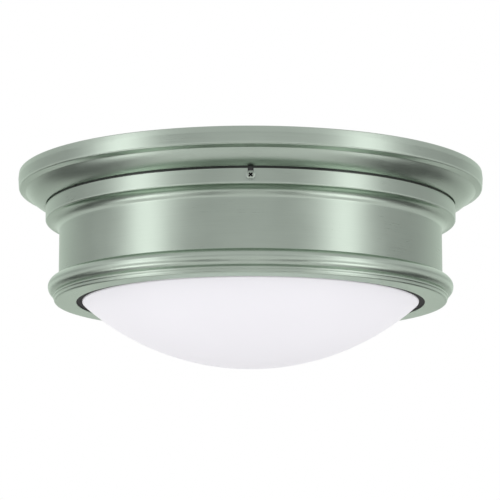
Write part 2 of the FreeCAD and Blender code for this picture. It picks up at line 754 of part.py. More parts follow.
def make_drum_ring():
    """The ring that carries the glass, with notches that clear the side screws."""
    wall = s.sheet
    cove_curve = curve_of(cove_start_radius - drum_radius, s.cove_height, s.cove_bulge)
    shoulder_curve = s.roll_shoulder_curve
    roll_curve = curve_of(s.roll_tuck, s.roll_drop, s.roll_bulge)
    upper_curve = curve_of(s.upper_bead_tuck, s.upper_bead_height, s.upper_bead_bulge)
    lower_curve = curve_of(s.lower_bead_tuck, s.lower_bead_height, s.lower_bead_bulge)
    body = turned("drum_ring", [
        (band_radius, -band_top_depth),
        (band_radius, s.band_edge_round - band_edge_depth),
        (band_radius - s.band_edge_round, -band_edge_depth, s.band_edge_round, RIGHT),
        (cove_start_radius, -band_edge_depth),
        (drum_radius, -drum_top_depth, cove_curve, LEFT),
        (drum_radius, -roll_top_depth),
        (roll_top_radius, -roll_top_depth),
        (roll_radius, -roll_middle_depth, shoulder_curve, RIGHT),
        (roll_end_radius, -roll_end_depth, roll_curve, RIGHT),
        (bead_root_radius, -bead_root_depth),
        (bead_middle_radius, -bead_middle_depth, upper_curve, RIGHT),
        (lip_radius, -ring_depth, lower_curve, RIGHT),
        (lip_bore_radius, -ring_depth),
        (lip_bore_radius, wall - ring_depth),
        (bead_middle_radius - wall, wall - ring_depth),
        (bead_middle_radius - wall, -bead_root_depth),
        (roll_end_radius - wall, wall / 2 - roll_end_depth),
        (roll_radius - wall, -roll_middle_depth, roll_curve - wall, LEFT),
        (roll_top_radius, -roll_top_depth - wall, shoulder_curve - wall, LEFT),
        (drum_radius - wall, -roll_top_depth - wall),
        (drum_radius - wall, -drum_top_depth),
        (cove_start_radius, wall - band_edge_depth, cove_curve + wall, RIGHT),
        (band_radius - wall, wall - band_edge_depth),
        (band_radius - wall, -band_top_depth),
    ])
    half = s.screw_shank_radius + s.notch_gap
    notch = new_sketch(body, "XZ_Plane")
    outline(notch, [
        (half, s.overrun - band_top_depth),
        (-half, s.overrun - band_top_depth),
        (-half, -screw_depth),
        (ZERO, -screw_depth - half, half, LEFT),
        (half, -screw_depth, half, LEFT),
    ])
    cut = pocket(body, notch, band_radius + s.overrun, forward=True)
    around(body, [cut], len(SCREW_ANGLES))
    return keep(body)


# Side screws: each screw turns in a weld nut, with a washer under its head

def make_side_screws():
    """Three cross-recessed screws with their washers, and the weld nuts inside the collar."""
    washer_base = band_radius + s.slip_gap
    head_base = washer_base + s.screw_washer_height
    head, height = s.screw_shank_radius + s.screw_head_rim, s.screw_head_height
    washer_radius = head + s.screw_washer_rim
    nut_radius = s.screw_shank_radius + s.weld_nut_wall
    edge, rise = s.screw_head_edge, s.screw_head_rise
    flat = head - edge
    dome = (flat * flat + rise * rise) / (rise * 2)
    bore = s.screw_shank_radius + s.press_gap
    nuts = []
    for index, angle in enumerate(SCREW_ANGLES, start=1):
        washer = turned(f"side_washer_{index}", [
            (bore, ZERO), (washer_radius, ZERO),
            (washer_radius, s.screw_washer_height), (bore, s.screw_washer_height)])
        keep(place_radially(washer, angle, washer_base, screw_depth))
        screw = turned(f"side_screw_{index}", [
            (ZERO, -s.screw_length),
            (s.screw_shank_radius - s.sheet / 2, -s.screw_length),
            (s.screw_shank_radius, s.sheet / 2 - s.screw_length),
            (s.screw_shank_radius, ZERO),
            (head, ZERO),
            (head, height - rise - edge),
            (flat, height - rise, edge, LEFT),
            (ZERO, height, dome, LEFT),
        ])
        for wide, deep in ((s.recess_length, s.recess_width), (s.recess_width, s.recess_length)):
            recess = new_sketch(screw, "XY_Plane", height - s.recess_depth)
            rectangle(recess, -wide / 2, wide / 2, -deep / 2, deep / 2)
            pocket(screw, recess, s.recess_depth + s.sheet, forward=True)
        keep(place_radially(screw, angle, head_base, screw_depth))
        nut = turned(f"side_weld_nut_{index}", [
            (bore, ZERO), (nut_radius, ZERO),
            (nut_radius, s.weld_nut_height), (bore, s.weld_nut_height)])
        face = flat_inside_collar(nut_radius)
        place_radially(nut, angle, face, screw_depth, inwards=True)
        nuts.append(nut)
    return keep(group("side_weld_nuts", nuts))


# Lampholders: bracket, porcelain body, screw shell and end contact

def make_bracket(angle, index):
    """A folded strap that hangs a lampholder from the back plate."""
    body = new_body(f"holder_bracket_{index}")
    face = bracket_face()
    top = plate_under
    bend = s.strap * 2
    side = new_sketch(body, "XZ_Plane")
    outline(side, [
        (face + s.strap - s.bracket_foot, -top - s.strap),
        (face + s.strap - s.bracket_foot, -top),
        (face + s.strap - bend, -top),
        (face + s.strap, -top - bend, bend, RIGHT),
        (face + s.strap, -lamp_depth - s.bracket_drop),
        (face, -lamp_depth - s.bracket_drop),
        (face, -top - bend),
        (face + s.strap - bend, -top - s.strap, bend - s.strap, LEFT),
    ])
    pad(body, side, s.bracket_width, middle=True)
    foot = new_sketch(body, "XY_Plane")
    for way in (LEFT, RIGHT):
        circle(foot, foot_rivet_distance(), s.foot_rivet_spacing * way / 2,
               s.foot_rivet_radius + s.press_gap)
    pocket(body, foot)
    upright = new_sketch(body, "YZ_Plane")
    for way in (LEFT, RIGHT):
        circle(upright, ZERO, -lamp_depth + s.holder_screw_offset * way,
               s.holder_screw_radius + s.press_gap)
    pocket(body, upright, face + s.strap + s.overrun, forward=True)
    return keep(turn_round(body, angle))


def make_holder(angle, index):
    """The porcelain body with its bore, screw holes and lead holes."""
    edge = s.holder_edge
    body = turned(f"holder_body_{index}", [
        (ZERO, -s.holder_back),
        (holder_radius - edge, -s.holder_back),
        (holder_radius, edge - s.holder_back),
        (holder_radius, holder_front - edge),
        (holder_radius - edge, holder_front),
        (holder_bore_radius, holder_front),
        (holder_bore_radius, -s.holder_floor),
        (ZERO, -s.holder_floor),
    ])
    screws = new_sketch(body, "XY_Plane", -s.holder_back)
    for way in (LEFT, RIGHT):
        circle(screws, s.holder_screw_offset * way, ZERO, s.holder_screw_radius + s.press_gap)
    pocket(body, screws, s.holder_screw_grip + s.press_gap, forward=True)
    leads = new_sketch(body, "YZ_Plane", s.lead_hole_floor)
    for way in (LEFT, RIGHT):
        circle(leads, lead_side * way, s.lead_hole_inset - s.holder_back,
               s.wire_radius + s.lead_hole_gap)
    pocket(body, leads, holder_radius, forward=True)
    return keep(place_radially(body, angle, contact_distance, lamp_depth, inwards=True))


def make_screw_shell(angle, index):
    """The brass shell that takes the lamp's cap."""
    outer = holder_bore_radius - s.seat_gap
    inner = outer - s.shell_wall
    hole = s.contact_disc_radius + s.shell_hole_gap
    back = s.seat_gap - s.holder_floor
    front = cap_front - s.shell_inset
    shell = turned(f"screw_shell_{index}", [
        (hole, back), (outer, back), (outer, front), (inner, front),
        (inner, back + s.shell_wall), (hole, back + s.shell_wall)])
    return keep(place_radially(shell, angle, contact_distance, lamp_depth, inwards=True))


def make_centre_contact(angle, index):
    """The brass end contact at the bottom of the lampholder."""
    front = -s.seat_gap
    neck = front - s.contact_disc_height
    contact = turned(f"centre_contact_{index}", [
        (ZERO, -s.holder_floor), (s.contact_stem_radius, -s.holder_floor),
        (s.contact_stem_radius, neck), (s.contact_disc_radius, neck),
        (s.contact_disc_radius, front), (ZERO, front)])
    return keep(place_radially(contact, angle, contact_distance, lamp_depth, inwards=True))


def make_holder_fasteners():
    """The screws behind the porcelain bodies and the rivets through the brackets' feet."""
    screws, rivets = [], []
    back = bracket_face() + s.strap
    head, height = s.holder_screw_head, s.holder_screw_head_height
    under = plate_under + s.strap
    for angle in LAMP_ANGLES:
        for way in (LEFT, RIGHT):
            number = len(screws) + 1
            screw = turned(f"holder_screw_{number}", [
                (ZERO, -height), (head - s.sheet / 2, -height), (head, s.sheet / 2 - height),
                (head, ZERO), (s.holder_screw_radius, ZERO),
                (s.holder_screw_radius, s.strap + s.holder_screw_grip),
                (ZERO, s.strap + s.holder_screw_grip)])
            depth = lamp_depth + s.holder_screw_offset * way
            screws.append(place_radially(screw, angle, back, depth, inwards=True))
            rivet = turned(f"foot_rivet_{number}", [
                (ZERO, -s.plate_depth), (s.foot_rivet_radius, -s.plate_depth),
                (s.foot_rivet_radius, -under), (s.foot_rivet_head, -under),
                (s.foot_rivet_head - s.press_gap, -under - s.foot_rivet_head_height),
                (ZERO, -under - s.foot_rivet_head_height)])
            base = outward(angle) * foot_rivet_distance().value
            base = base + sideways(angle) * (s.foot_rivet_spacing * way / 2).value
            rivet.Placement = FreeCAD.Placement(base, FreeCAD.Rotation())
            rivets.append(rivet)
    keep(group("holder_screws", screws))
    keep(group("bracket_rivets", rivets))


# Lamps: end contact, threaded cap and glass globe

def make_lamp(angle, index):
    """One screw-in lamp, drawn from its end contact towards the light's centre."""
    tip = turned(f"bulb_tip_{index}", [
        (ZERO, ZERO), (s.tip_radius - s.tip_bevel, ZERO), (s.tip_radius, s.tip_height),
        (ZERO, s.tip_height)])
    thread = [(cap_root_radius, s.thread_start)]
    for turn in range(THREAD_TURNS):
        start = s.thread_start + s.thread_pitch * turn
        thread.append((s.cap_radius, start + s.thread_pitch / 2))
        thread.append((cap_root_radius, start + s.thread_pitch))
    cap = turned(f"bulb_base_{index}", [
        (ZERO, s.tip_height), (s.tip_radius, s.tip_height)] + thread + [
        (cap_root_radius, cap_front), (cap_bore_radius, cap_front),
        (cap_bore_radius, s.cap_floor), (ZERO, s.cap_floor)])
    middle = s.bulb_length - s.bulb_radius
    inner = s.bulb_radius - s.bulb_wall
    shoulder = s.bulb_radius - s.bulb_shoulder_inset
    below = root(s.bulb_radius * s.bulb_radius - shoulder * shoulder)
    shoulder_in = shoulder - s.bulb_wall
    below_in = root(inner * inner - shoulder_in * shoulder_in)
    neck = cap_bore_radius - s.bulb_neck_gap
    neck_start = cap_front - s.bulb_neck_grip
    neck_end = cap_front + s.bulb_neck_rise
    globe = turned(f"bulb_globe_{index}", [
        (neck - s.bulb_wall, neck_start),
        (neck, neck_start),
        (neck, neck_end),
        (shoulder, middle - below),
        (ZERO, s.bulb_length, s.bulb_radius, LEFT),
        (ZERO, s.bulb_length - s.bulb_wall),
        (shoulder_in, middle - below_in, inner, RIGHT),
        (neck - s.bulb_wall, neck_end),
    ])
    for piece in (tip, cap, globe):
        keep(place_radially(piece, angle, contact_distance, lamp_depth, inwards=True))


# Glass bowl and the gasket that it rests on

def cap_curve(radius, height):
    """Radius of the sphere whose cap has this radius and height."""
    return (radius * radius + height * height) / (height * 2)


def make_glass():
    """The frosted bowl, whose flange rests on the gasket over the lip."""
    bottom = ring_depth - s.sheet - s.gasket_height - s.seat_gap
    top = bottom - s.glass_wall
    apex = ring_depth + s.glass_drop
    neck = ring_depth - s.seat_gap
    neck_radius = lip_bore_radius - s.glass_gap
    inner_radius = neck_radius - s.glass_wall
    flange = gasket_radius + s.glass_overhang
    keep(turned("glass_dome", [
        (ZERO, -apex),
        (neck_radius, -neck, cap_curve(neck_radius, apex - neck), LEFT),
        (neck_radius, -bottom),
        (flange, -bottom),
        (flange, -top),
        (inner_radius, -top),
        (ZERO, s.glass_wall - apex, cap_curve(inner_radius, apex - s.glass_wall - top), RIGHT),
    ]))
    lip = s.sheet - ring_depth
    gasket_inner = neck_radius + s.slip_gap
    keep(turned("glass_gasket", [
        (gasket_inner, lip), (gasket_radius, lip),
        (gasket_radius, lip + s.gasket_height), (gasket_inner, lip + s.gasket_height)]))


# Terminal block, its screws, the earth screw and the lead clips

def pole_distance(pole):
    """How far a pole is from the light's axis: pole 1 is the outer one, pole -1 the inner."""
    return block_distance + s.pole_pitch * pole


def make_terminal_block():
    """A three-pole block under the plate, with clamp screws from below."""
    top = plate_under
    body = new_body("terminal_block")
    plan = new_sketch(body, "XY_Plane", -top)
    half = s.pole_pitch + s.block_end
    rectangle(plan, -s.block_width / 2, s.block_width / 2,
              -block_distance - half, half - block_distance)
    pad(body, plan, s.block_height, away=True)
    bores = new_sketch(body, "YZ_Plane")
    for pole in (-1, 0, 1):
        circle(bores, -pole_distance(pole), -pole_depth, pole_bore_radius)
    pocket(body, bores, s.block_width + s.overrun, middle=True)
    clamps = new_sketch(body, "XY_Plane", -top - s.block_height)
    screws = []
    clamp_top = lower_run_depth + s.wire_radius + s.clamp_screw_gap
    clamp_length = top + s.block_height - clamp_top
    for pole in (-1, 0, 1):
        for side in (LEFT, RIGHT):
            place = s.clamp_screw_offset * side
            circle(clamps, place, -pole_distance(pole), s.clamp_screw_radius + s.press_gap)
            screw = doc.addObject("Part::Cylinder", f"clamp_screw_{len(screws) + 1}")
            screw.setExpression("Radius", s.clamp_screw_radius.text)
            screw.setExpression("Height", clamp_length.text)
            screw.setExpression("Placement.Base.x", place.text)
            screw.setExpression("Placement.Base.y", (-pole_distance(pole)).text)
            screw.setExpression("Placement.Base.z", (-top - s.block_height).text)
            screws.append(screw)
    pocket(body, clamps, clamp_length + s.press_gap, forward=True)
    fixings = new_sketch(body, "XY_Plane", -top - s.block_height)
    fixed = []
    for side in (LEFT, RIGHT):
        distance = block_distance + s.pole_pitch * side / 2
        circle(fixings, ZERO, -distance, s.block_screw_radius + s.press_gap)
        screw = doc.addObject("Part::Cylinder", f"block_screw_{len(fixed) + 1}")
        screw.setExpression("Radius", s.block_screw_radius.text)
        screw.setExpression("Height", (s.block_height + s.sheet).text)
        screw.setExpression("Placement.Base.y", (-distance).text)
        screw.setExpression("Placement.Base.z", (-top - s.block_height).text)
        fixed.append(screw)
    pocket(body, fixings, forward=True)
    keep(body)
    keep(group("terminal_screws", screws))
    keep(group("block_screws", fixed))


def make_earth_screw():
    """The earth screw through the back plate, with the eyelet under its head."""
    middle = outward(EARTH_ANGLE) * earth_distance.value
    eyelet_top = upper_run_depth - s.eyelet_height / 2
    eyelet_base = eyelet_top + s.eyelet_height
    head_base = eyelet_base + s.earth_head_height
    screw = turned("earth_screw", [
        (ZERO, -s.plate_depth), (s.earth_screw_radius, -s.plate_depth),
        (s.earth_screw_radius, -eyelet_base), (s.earth_head_radius, -eyelet_base),
        (s.earth_head_radius, -head_base), (ZERO, -head_base)])
    bore = s.earth_screw_radius + s.press_gap
    eyelet = turned("earth_eyelet", [
        (bore, -eyelet_top), (s.eyelet_radius, -eyelet_top),
        (s.eyelet_radius, -eyelet_base), (bore, -eyelet_base)])
    for piece in (screw, eyelet):
        piece.Placement = FreeCAD.Placement(middle, FreeCAD.Rotation())
        keep(piece)


def make_clips(places):
    """Folded clips that hold the long pair of leads up to the plate."""
    top = plate_under
    floor = lower_run_depth + s.wire_radius + s.slip_gap
    half = s.pole_pitch / 2 + s.wire_radius + s.clip_margin
    clips = []
    for index, (middle, heading) in enumerate(places, start=1):
        body = new_body(f"lead_clip_{index}")
        side = new_sketch(body, "YZ_Plane")
        outline(side, [
            (-half - s.clip_foot, -top), (-half - s.clip_foot, -top - s.clip_wall),
            (-half, -top - s.clip_wall), (-half, -floor - s.clip_wall),
            (half, -floor - s.clip_wall), (half, -top - s.clip_wall),
            (half + s.clip_foot, -top - s.clip_wall), (half + s.clip_foot, -top),
            (half - s.clip_wall, -top), (half - s.clip_wall, -floor),
            (s.clip_wall - half, -floor), (s.clip_wall - half, -top)])
        pad(body, side, s.clip_length, middle=True)
        body.Placement = FreeCAD.Placement(middle, FreeCAD.Rotation(UP, heading))
        clips.append(body)
    return keep(group("lead_clips", clips))


# Leads: straight runs joined by tangent arcs

def lead_edges(points, largest):
    """Edges of a lead through its points, each bend as large as its two runs allow."""
    edges = []
    last = points[0]
    radii = []
    for before, corner, after in zip(points, points[1:], points[2:]):
        back = (before - corner)
        on = (after - corner)
        run = min(back.Length, on.Length)
        back.normalize()
        on.normalize()
        turn = math.pi - back.getAngle(on)
        radius = min(BEND_SHARE * run / math.tan(turn / 2), largest)
        tangent = radius * math.tan(turn / 2)
        middle = (back + on).normalize()
        start = corner + back * tangent
        stop = corner + on * tangent
        bulge = corner + middle * (radius / math.cos(turn / 2) - radius)
        edges.append(Part.LineSegment(last, start).toShape())
        edges.append(Part.Arc(start, bulge, stop).toShape())
        radii.append(round(radius, 1))
        last = stop
    edges.append(Part.LineSegment(last, points[-1]).toShape())
    return edges, radii


def make_lead(label, points):
    """A round lead swept along its route, set against its section times its length."""
    path, radii = lead_edges(points, s.lead_corner_radius.value)
    spine = Part.Wire(path)
    heading = (points[1] - points[0]).normalize()
    ring = Part.Wire(Part.Circle(points[0], heading, s.wire_radius.value).toShape())
    shape = spine.makePipeShell([ring], True, False)
    if shape.ShapeType != "Solid":
        shape = Part.Solid(shape.Shells[0])
    section = math.pi * s.wire_radius.value ** 2
    share = shape.Volume / (section * spine.Length)
    print(f"{label}: length {spine.Length:.0f}, volume share {share:.4f}, bends {radii}")
    lead = doc.addObject("Part::Feature", label)
    lead.Label = label
    lead.Shape = shape
    return keep(lead)


def at(angle, distance, beside, depth):
    """A point by its distance from the axis along a lamp's radius and beside it."""
    return outward(angle) * distance.value + sideways(angle) * beside.value - UP * depth.value


def make_leads():
    """Two leads from each lampholder to the block, and the earth lead."""
    hole_out = bracket_face() - s.lead_hole_inset
    hole_depth = lamp_depth - s.lead_hole_floor - s.seat_gap
    turns = {"black": pole_distance(1) + s.outer_turn, "white": pole_distance(0) - s.inner_turn}
    places = []
    for index, angle in enumerate(LAMP_ANGLES, start=1):
        long_way = index == 1
        depth = lower_run_depth if long_way else upper_run_depth
        travel = 1 if angle < BLOCK_ANGLE else -1
        for colour, pole, way in (("black", 1, travel), ("white", 0, -travel)):
            beside = lead_side * way
            points = [at(angle, hole_out, beside, hole_depth),
                      at(angle, hole_out, beside, depth),
                      at(angle, turns[colour], beside, depth)]
            if long_way:
                spread = pole_distance(pole) + s.pole_pitch
                points += [at(middle, spread, ZERO, depth) for middle in ROUTE_ANGLES]
            mouth = pole_distance(pole)
            approach = s.lead_approach * -travel * (2 if long_way else 1)
            points.append(at(BLOCK_ANGLE, mouth, approach, depth))
            points.append(at(BLOCK_ANGLE, mouth, s.lead_reach * -travel, depth))
            make_lead(f"{colour}_lead_{index}", points)
            if long_way:
                places.append(points)
    eyelet = outward(EARTH_ANGLE) * earth_distance.value - UP * upper_run_depth.value
    meet = outward(EARTH_LEAD_ANGLE)
    end = s.eyelet_radius + s.seat_gap
    inner = pole_distance(-1)
    points = [at(BLOCK_ANGLE, inner, s.lead_reach, upper_run_depth),
              at(BLOCK_ANGLE, inner, s.lead_approach, upper_run_depth),
              eyelet + meet * (end + s.earth_lead_end).value,
              eyelet + meet * end.value]
    make_lead("earth_lead", points)
    clips = []
    for step in (3, 4):
        middle = (places[0][step] + places[0][step + 1] + places[1][step] + places[1][step + 1]) / 4
        middle.z = 0
        along = places[0][step + 1] - places[0][step]
        clips.append((middle, math.degrees(math.atan2(along.y, along.x))))
    make_clips(clips)


# Build everything, check it and write the files

make_trim_pan()
make_back_pan()
make_pan_rivets()
make_insulation_pad()
make_crossbar()
make_studs()
make_stud_nuts()
make_bushing()
make_drum_ring()
make_side_screws()
for number, lamp_angle in enumerate(LAMP_ANGLES, start=1):
    make_bracket(lamp_angle, number)
    make_holder(lamp_angle, number)
    make_screw_shell(lamp_angle, number)
    make_centre_contact(lamp_angle, number)
    make_lamp(lamp_angle, number)
make_holder_fasteners()
make_glass()
make_terminal_block()
make_earth_screw()
make_leads()

doc.recompute()
for item in doc.Objects:
    if "Invalid" in item.State or "Error" in item.State:
        raise RuntimeError(f"{item.Label} failed: {item.State}")
for node in NODES:
    if node.Shape.isNull() or not node.Shape.isValid() or not node.Shape.Solids:
        raise RuntimeError(f"{node.Label} has no valid solid")
for node in NODES:
    node.Shape.exportStep(f"parts/{node.Label}.step")
print(f"{len(NODES)} nodes written")
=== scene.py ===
"""Looks of a flush ceiling light: turned nickel rings, a frosted bowl and what they hide."""
import logging
import math
from dataclasses import dataclass
from enum import Enum
from typing import Sequence

import bmesh
import bpy
import numpy as np
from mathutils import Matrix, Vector


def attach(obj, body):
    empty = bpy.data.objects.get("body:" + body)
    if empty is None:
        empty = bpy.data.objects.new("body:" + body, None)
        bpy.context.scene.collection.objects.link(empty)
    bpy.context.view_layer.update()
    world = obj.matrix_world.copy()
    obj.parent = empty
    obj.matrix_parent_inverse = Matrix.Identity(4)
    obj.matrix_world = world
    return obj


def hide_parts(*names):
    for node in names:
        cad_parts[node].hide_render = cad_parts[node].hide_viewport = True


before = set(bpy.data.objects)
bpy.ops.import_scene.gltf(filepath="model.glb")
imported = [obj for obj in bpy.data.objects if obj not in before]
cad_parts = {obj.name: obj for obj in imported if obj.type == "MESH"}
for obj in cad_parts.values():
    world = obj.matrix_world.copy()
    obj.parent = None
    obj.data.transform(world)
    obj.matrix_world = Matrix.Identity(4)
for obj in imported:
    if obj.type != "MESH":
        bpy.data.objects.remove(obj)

LOG = logging.getLogger("ceiling_light")
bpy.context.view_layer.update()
MM = 0.001
LAMP_ANGLES = (90.0, 210.0, 330.0)
MERGE_DISTANCE = 0.0005 * MM
TURN = 2 * math.pi
SHARPEST_TURN = 0.5
Array = np.ndarray
Socket = bpy.types.NodeSocket
Colour = tuple[float, float, float]
Place = tuple[float, float, float]


class Sense(Enum):
    """Side of the way along an outline on which an arc's centre lies."""

    LEFT = 1
    RIGHT = -1


class Grain(Enum):
    """Way in which a metal surface was brushed."""

    ROUND = "round the axis"
    NONE = "not brushed"


# Shader maths: a socket that takes part in Python arithmetic

class Signal:
    """A value socket of one material, with the usual operators."""

    def __init__(self, paint: "Paint", socket: Socket) -> None:
        """Wrap a socket of a paint's node tree."""
        self.paint = paint
        self.socket = socket

    def _join(self, operation: str, *values: "Signal | float") -> "Signal":
        """Add one Math node and give its result.

        Args:
            operation: the node's operation.
            values: what its inputs get.

        Returns:
            The result as a signal.
        """
        return self.paint.signal("ShaderNodeMath", 0, {"operation": operation},
                                 dict(enumerate(values)))

    def __add__(self, other: "Signal | float") -> "Signal":
        """Sum."""
        return self._join("ADD", self, other)

    def __rsub__(self, other: float) -> "Signal":
        """A number less this value."""
        return self._join("SUBTRACT", other, self)

    def __mul__(self, other: "Signal | float") -> "Signal":
        """Product."""
        return self._join("MULTIPLY", self, other)

    def __pow__(self, other: "Signal | float") -> "Signal":
        """Power."""
        return self._join("POWER", self, other)

    __radd__ = __add__
    __rmul__ = __mul__

    def above(self, edge: float, width: float) -> "Signal":
        """Rise smoothly from 0 to 1 over a width that starts at an edge.

        Args:
            edge: value where the rise starts.
            width: how far the rise goes.

        Returns:
            The smooth step as a signal.
        """
        return self.paint.signal("ShaderNodeMapRange", "Result",
                                 {"interpolation_type": "SMOOTHSTEP"},
                                 {"Value": self, "From Min": edge, "From Max": edge + width})

    def maximum(self, other: "Signal | float") -> "Signal":
        """The larger of two values."""
        return self._join("MAXIMUM", self, other)


class Paint:
    """One material or world, built node by node."""

    def __init__(self, owner: bpy.types.ID) -> None:
        """Empty the node tree of a material or a world.

        Args:
            owner: the material or world.
        """
        owner.use_nodes = True
        self.tree = owner.node_tree
        self.tree.nodes.clear()

    def node(self, kind: str, settings: dict | None = None,
             inputs: dict | None = None) -> bpy.types.Node:
        """Make any node.

        Args:
            kind: the node's type.
            settings: its properties, set before its sockets.
            inputs: values, signals or sockets by the input's name or number.

        Returns:
            The new node.
        """
        made = self.tree.nodes.new(kind)
        for name, value in (settings or {}).items():
            setattr(made, name, value)
        for name, value in (inputs or {}).items():
            socket = made.inputs[name]
            source = value.socket if isinstance(value, Signal) else value
            if isinstance(source, Socket):
                self.tree.links.new(source, socket)
            else:
                socket.default_value = (*source, 1) if socket.type == "RGBA" else source
        return made

    def signal(self, kind: str, output: str | int, settings: dict | None = None,
               inputs: dict | None = None) -> Signal:
        """Make any node and give one of its outputs.

        Args:
            kind: the node's type.
            output: the output's name or number.
            settings: its properties.
            inputs: values, signals or sockets by the input's name or number.

        Returns:
            The output as a signal.
        """
        return Signal(self, self.node(kind, settings, inputs).outputs[output])

    def place(self) -> Socket:
        """Object coordinates, in metres from the object's origin."""
        return self.node("ShaderNodeTexCoord").outputs["Object"]

    def axes(self, vector: Socket) -> list[Signal]:
        """The three parts of a vector."""
        parts = self.node("ShaderNodeSeparateXYZ", {}, {0: vector})
        return [Signal(self, part) for part in parts.outputs]

    def stretch(self, vector: Socket, scale: Place) -> Socket:
        """Coordinates multiplied axis by axis."""
        node = self.node("ShaderNodeVectorMath", {"operation": "MULTIPLY"}, {0: vector, 1: scale})
        return node.outputs[0]

    def noise(self, vector: Socket, scale: float, detail: float = 3.0,
              roughness: float = 0.55) -> Signal:
        """Soft random pattern from 0 to 1.

        Args:
            vector: coordinates that it follows.
            scale: patches per unit.
            detail: number of finer layers.
            roughness: strength of the finer layers.

        Returns:
            The pattern as a signal.
        """
        return self.signal("ShaderNodeTexNoise", 0, {},
                           {"Vector": vector, "Scale": scale, "Detail": detail,
                            "Roughness": roughness})

    def blend(self, factor: Signal, low: Colour | Socket, high: Colour | Socket) -> Socket:
        """Mix two colours by a factor."""
        node = self.node("ShaderNodeMix", {"data_type": "RGBA"}, {0: factor, 6: low, 7: high})
        return node.outputs[2]

    def bump(self, height: Signal, depth: float, strength: float = 1.0) -> Socket:
        """Turn a height pattern into a normal.

        Args:
            height: pattern from 0 to 1.
            depth: real height of the pattern in metres.
            strength: share of it that shows.

        Returns:
            The normal's socket.
        """
        node = self.node("ShaderNodeBump", {},
                         {"Height": height, "Distance": depth, "Strength": strength})
        return node.outputs[0]

    def surface(self, inputs: dict) -> None:
        """Finish the material with a Principled shader and its output."""
        shader = self.node("ShaderNodeBsdfPrincipled", {}, inputs)
        self.node("ShaderNodeOutputMaterial", {}, {0: shader.outputs[0]})


# Finishes: each is a small recipe that makes its material once. In a sum of patterns, each
# number is how far its pattern moves the value.

MADE: dict[str, bpy.types.Material] = {}
DEEP = "deep"


@dataclass(frozen=True)
class Finish:
    """Base of the finishes."""

    name: str
    slot: str

    def material(self) -> bpy.types.Material:
        """Make the material, or give the one made before.

        Returns:
            The material.
        """
        if self.name not in MADE:
            MADE[self.name] = bpy.data.materials.new(self.name)
            self.paint(Paint(MADE[self.name]))
        return MADE[self.name]

    def paint(self, paint: Paint) -> None:
        """Lay out the nodes."""
        raise NotImplementedError


@dataclass(frozen=True)
class BrushedMetal(Finish):
    """Plated or plain metal with brush lines, cloudy patches and faint handling marks.

    Its colour darkens towards near black, by the given share, where the attribute DEEP says that
    the surface is sunk: painted shade in recesses.
    """

    dark: Colour
    light: Colour
    grain: Grain = Grain.NONE
    roughness: float = 0.3
    recess_shade: float = 0.0
    recess_shade_colour: Colour = (0.006, 0.006, 0.006)
    line_scale: float = 2400.0
    line_depth: float = 0.004 * MM
    line_stretch: float = 0.012
    line_slant: float = 0.8
    anisotropy: float = 0.6
    edge_tint: Colour = (0.80, 0.88, 0.80)

    def lines(self, paint: Paint, place: Socket) -> Signal:
        """Brush lines: noise that is fine across the brushing and long along it.

        Args:
            paint: the material's node tree.
            place: coordinates that the lines follow.

        Returns:
            The lines from 0 to 1.
        """
        if self.grain is Grain.NONE:
            return paint.noise(place, self.line_scale / 4, detail=4)
        x, y, height = paint.axes(place)
        radius = (x * x + y * y) ** 0.5
        joined = paint.node("ShaderNodeCombineXYZ", {}, {
            0: x * self.line_stretch, 1: y * self.line_stretch,
            2: height + radius * self.line_slant})
        return paint.noise(joined.outputs[0], self.line_scale, detail=5, roughness=0.65)

    def paint(self, paint: Paint) -> None:
        """Lay out the nodes.

        Args:
            paint: the material's node tree.
        """
        place = paint.place()
        lines = self.lines(paint, place)
        clouds = paint.noise(place, scale=22.0)
        scuffs = paint.noise(place, scale=160.0, detail=5, roughness=0.7)
        marks = scuffs.above(edge=0.62, width=0.12)
        metal = paint.blend(lines * 0.55 + clouds * 0.45, self.dark, self.light)
        # Painted shade: sunk places such as the screw's cross recess are darkened in the colour
        # itself.
        if self.recess_shade:
            deep = paint.signal("ShaderNodeAttribute", 2, {"attribute_name": DEEP})
            painted_recess_shade = deep.above(edge=0.1, width=0.4) * self.recess_shade
            metal = paint.blend(painted_recess_shade, metal, self.recess_shade_colour)
        paint.surface({
            "Base Color": metal,
            "Metallic": 1.0,
            "Roughness": lines * 0.12 + clouds * 0.08 + marks * 0.05 + (self.roughness - 0.1),
            "Anisotropic": self.anisotropy if self.grain is Grain.ROUND else 0.0,
            "Specular Tint": self.edge_tint,
            "Normal": paint.bump(lines, self.line_depth),
        })


@dataclass(frozen=True)
class SprayedPaint(Finish):
    """Sprayed paint or dip with orange peel. From a radius on, the colour turns near black: painted
    shade for a narrow gap.
    """

    colour: Colour
    shade: Colour
    roughness: float = 0.35
    gap_shade_colour: Colour = (0.02, 0.02, 0.02)
    gap_shade_from: float = 1.0

    def paint(self, paint: Paint) -> None:
        """Lay out the nodes.

        Args:
            paint: the material's node tree.
        """
        place = paint.place()
        x, y, _ = paint.axes(place)
        # Painted shade: past the radius, the colour is near black where a narrow gap holds the face
        # in shadow.
        outside = ((x * x + y * y) ** 0.5).above(self.gap_shade_from, width=0.2 * MM)
        peel = paint.noise(place, scale=700.0, detail=2)
        dust = paint.noise(place, scale=30.0, detail=5, roughness=0.65)
        coat = paint.blend(dust.above(edge=0.35, width=0.5), self.shade, self.colour)
        paint.surface({
            "Base Color": paint.blend(outside, coat, self.gap_shade_colour),
            "Roughness": dust * 0.12 + (self.roughness - 0.06),
            "Normal": paint.bump(peel, depth=0.02 * MM, strength=0.5),
            "Coat Weight": 0.15,
        })


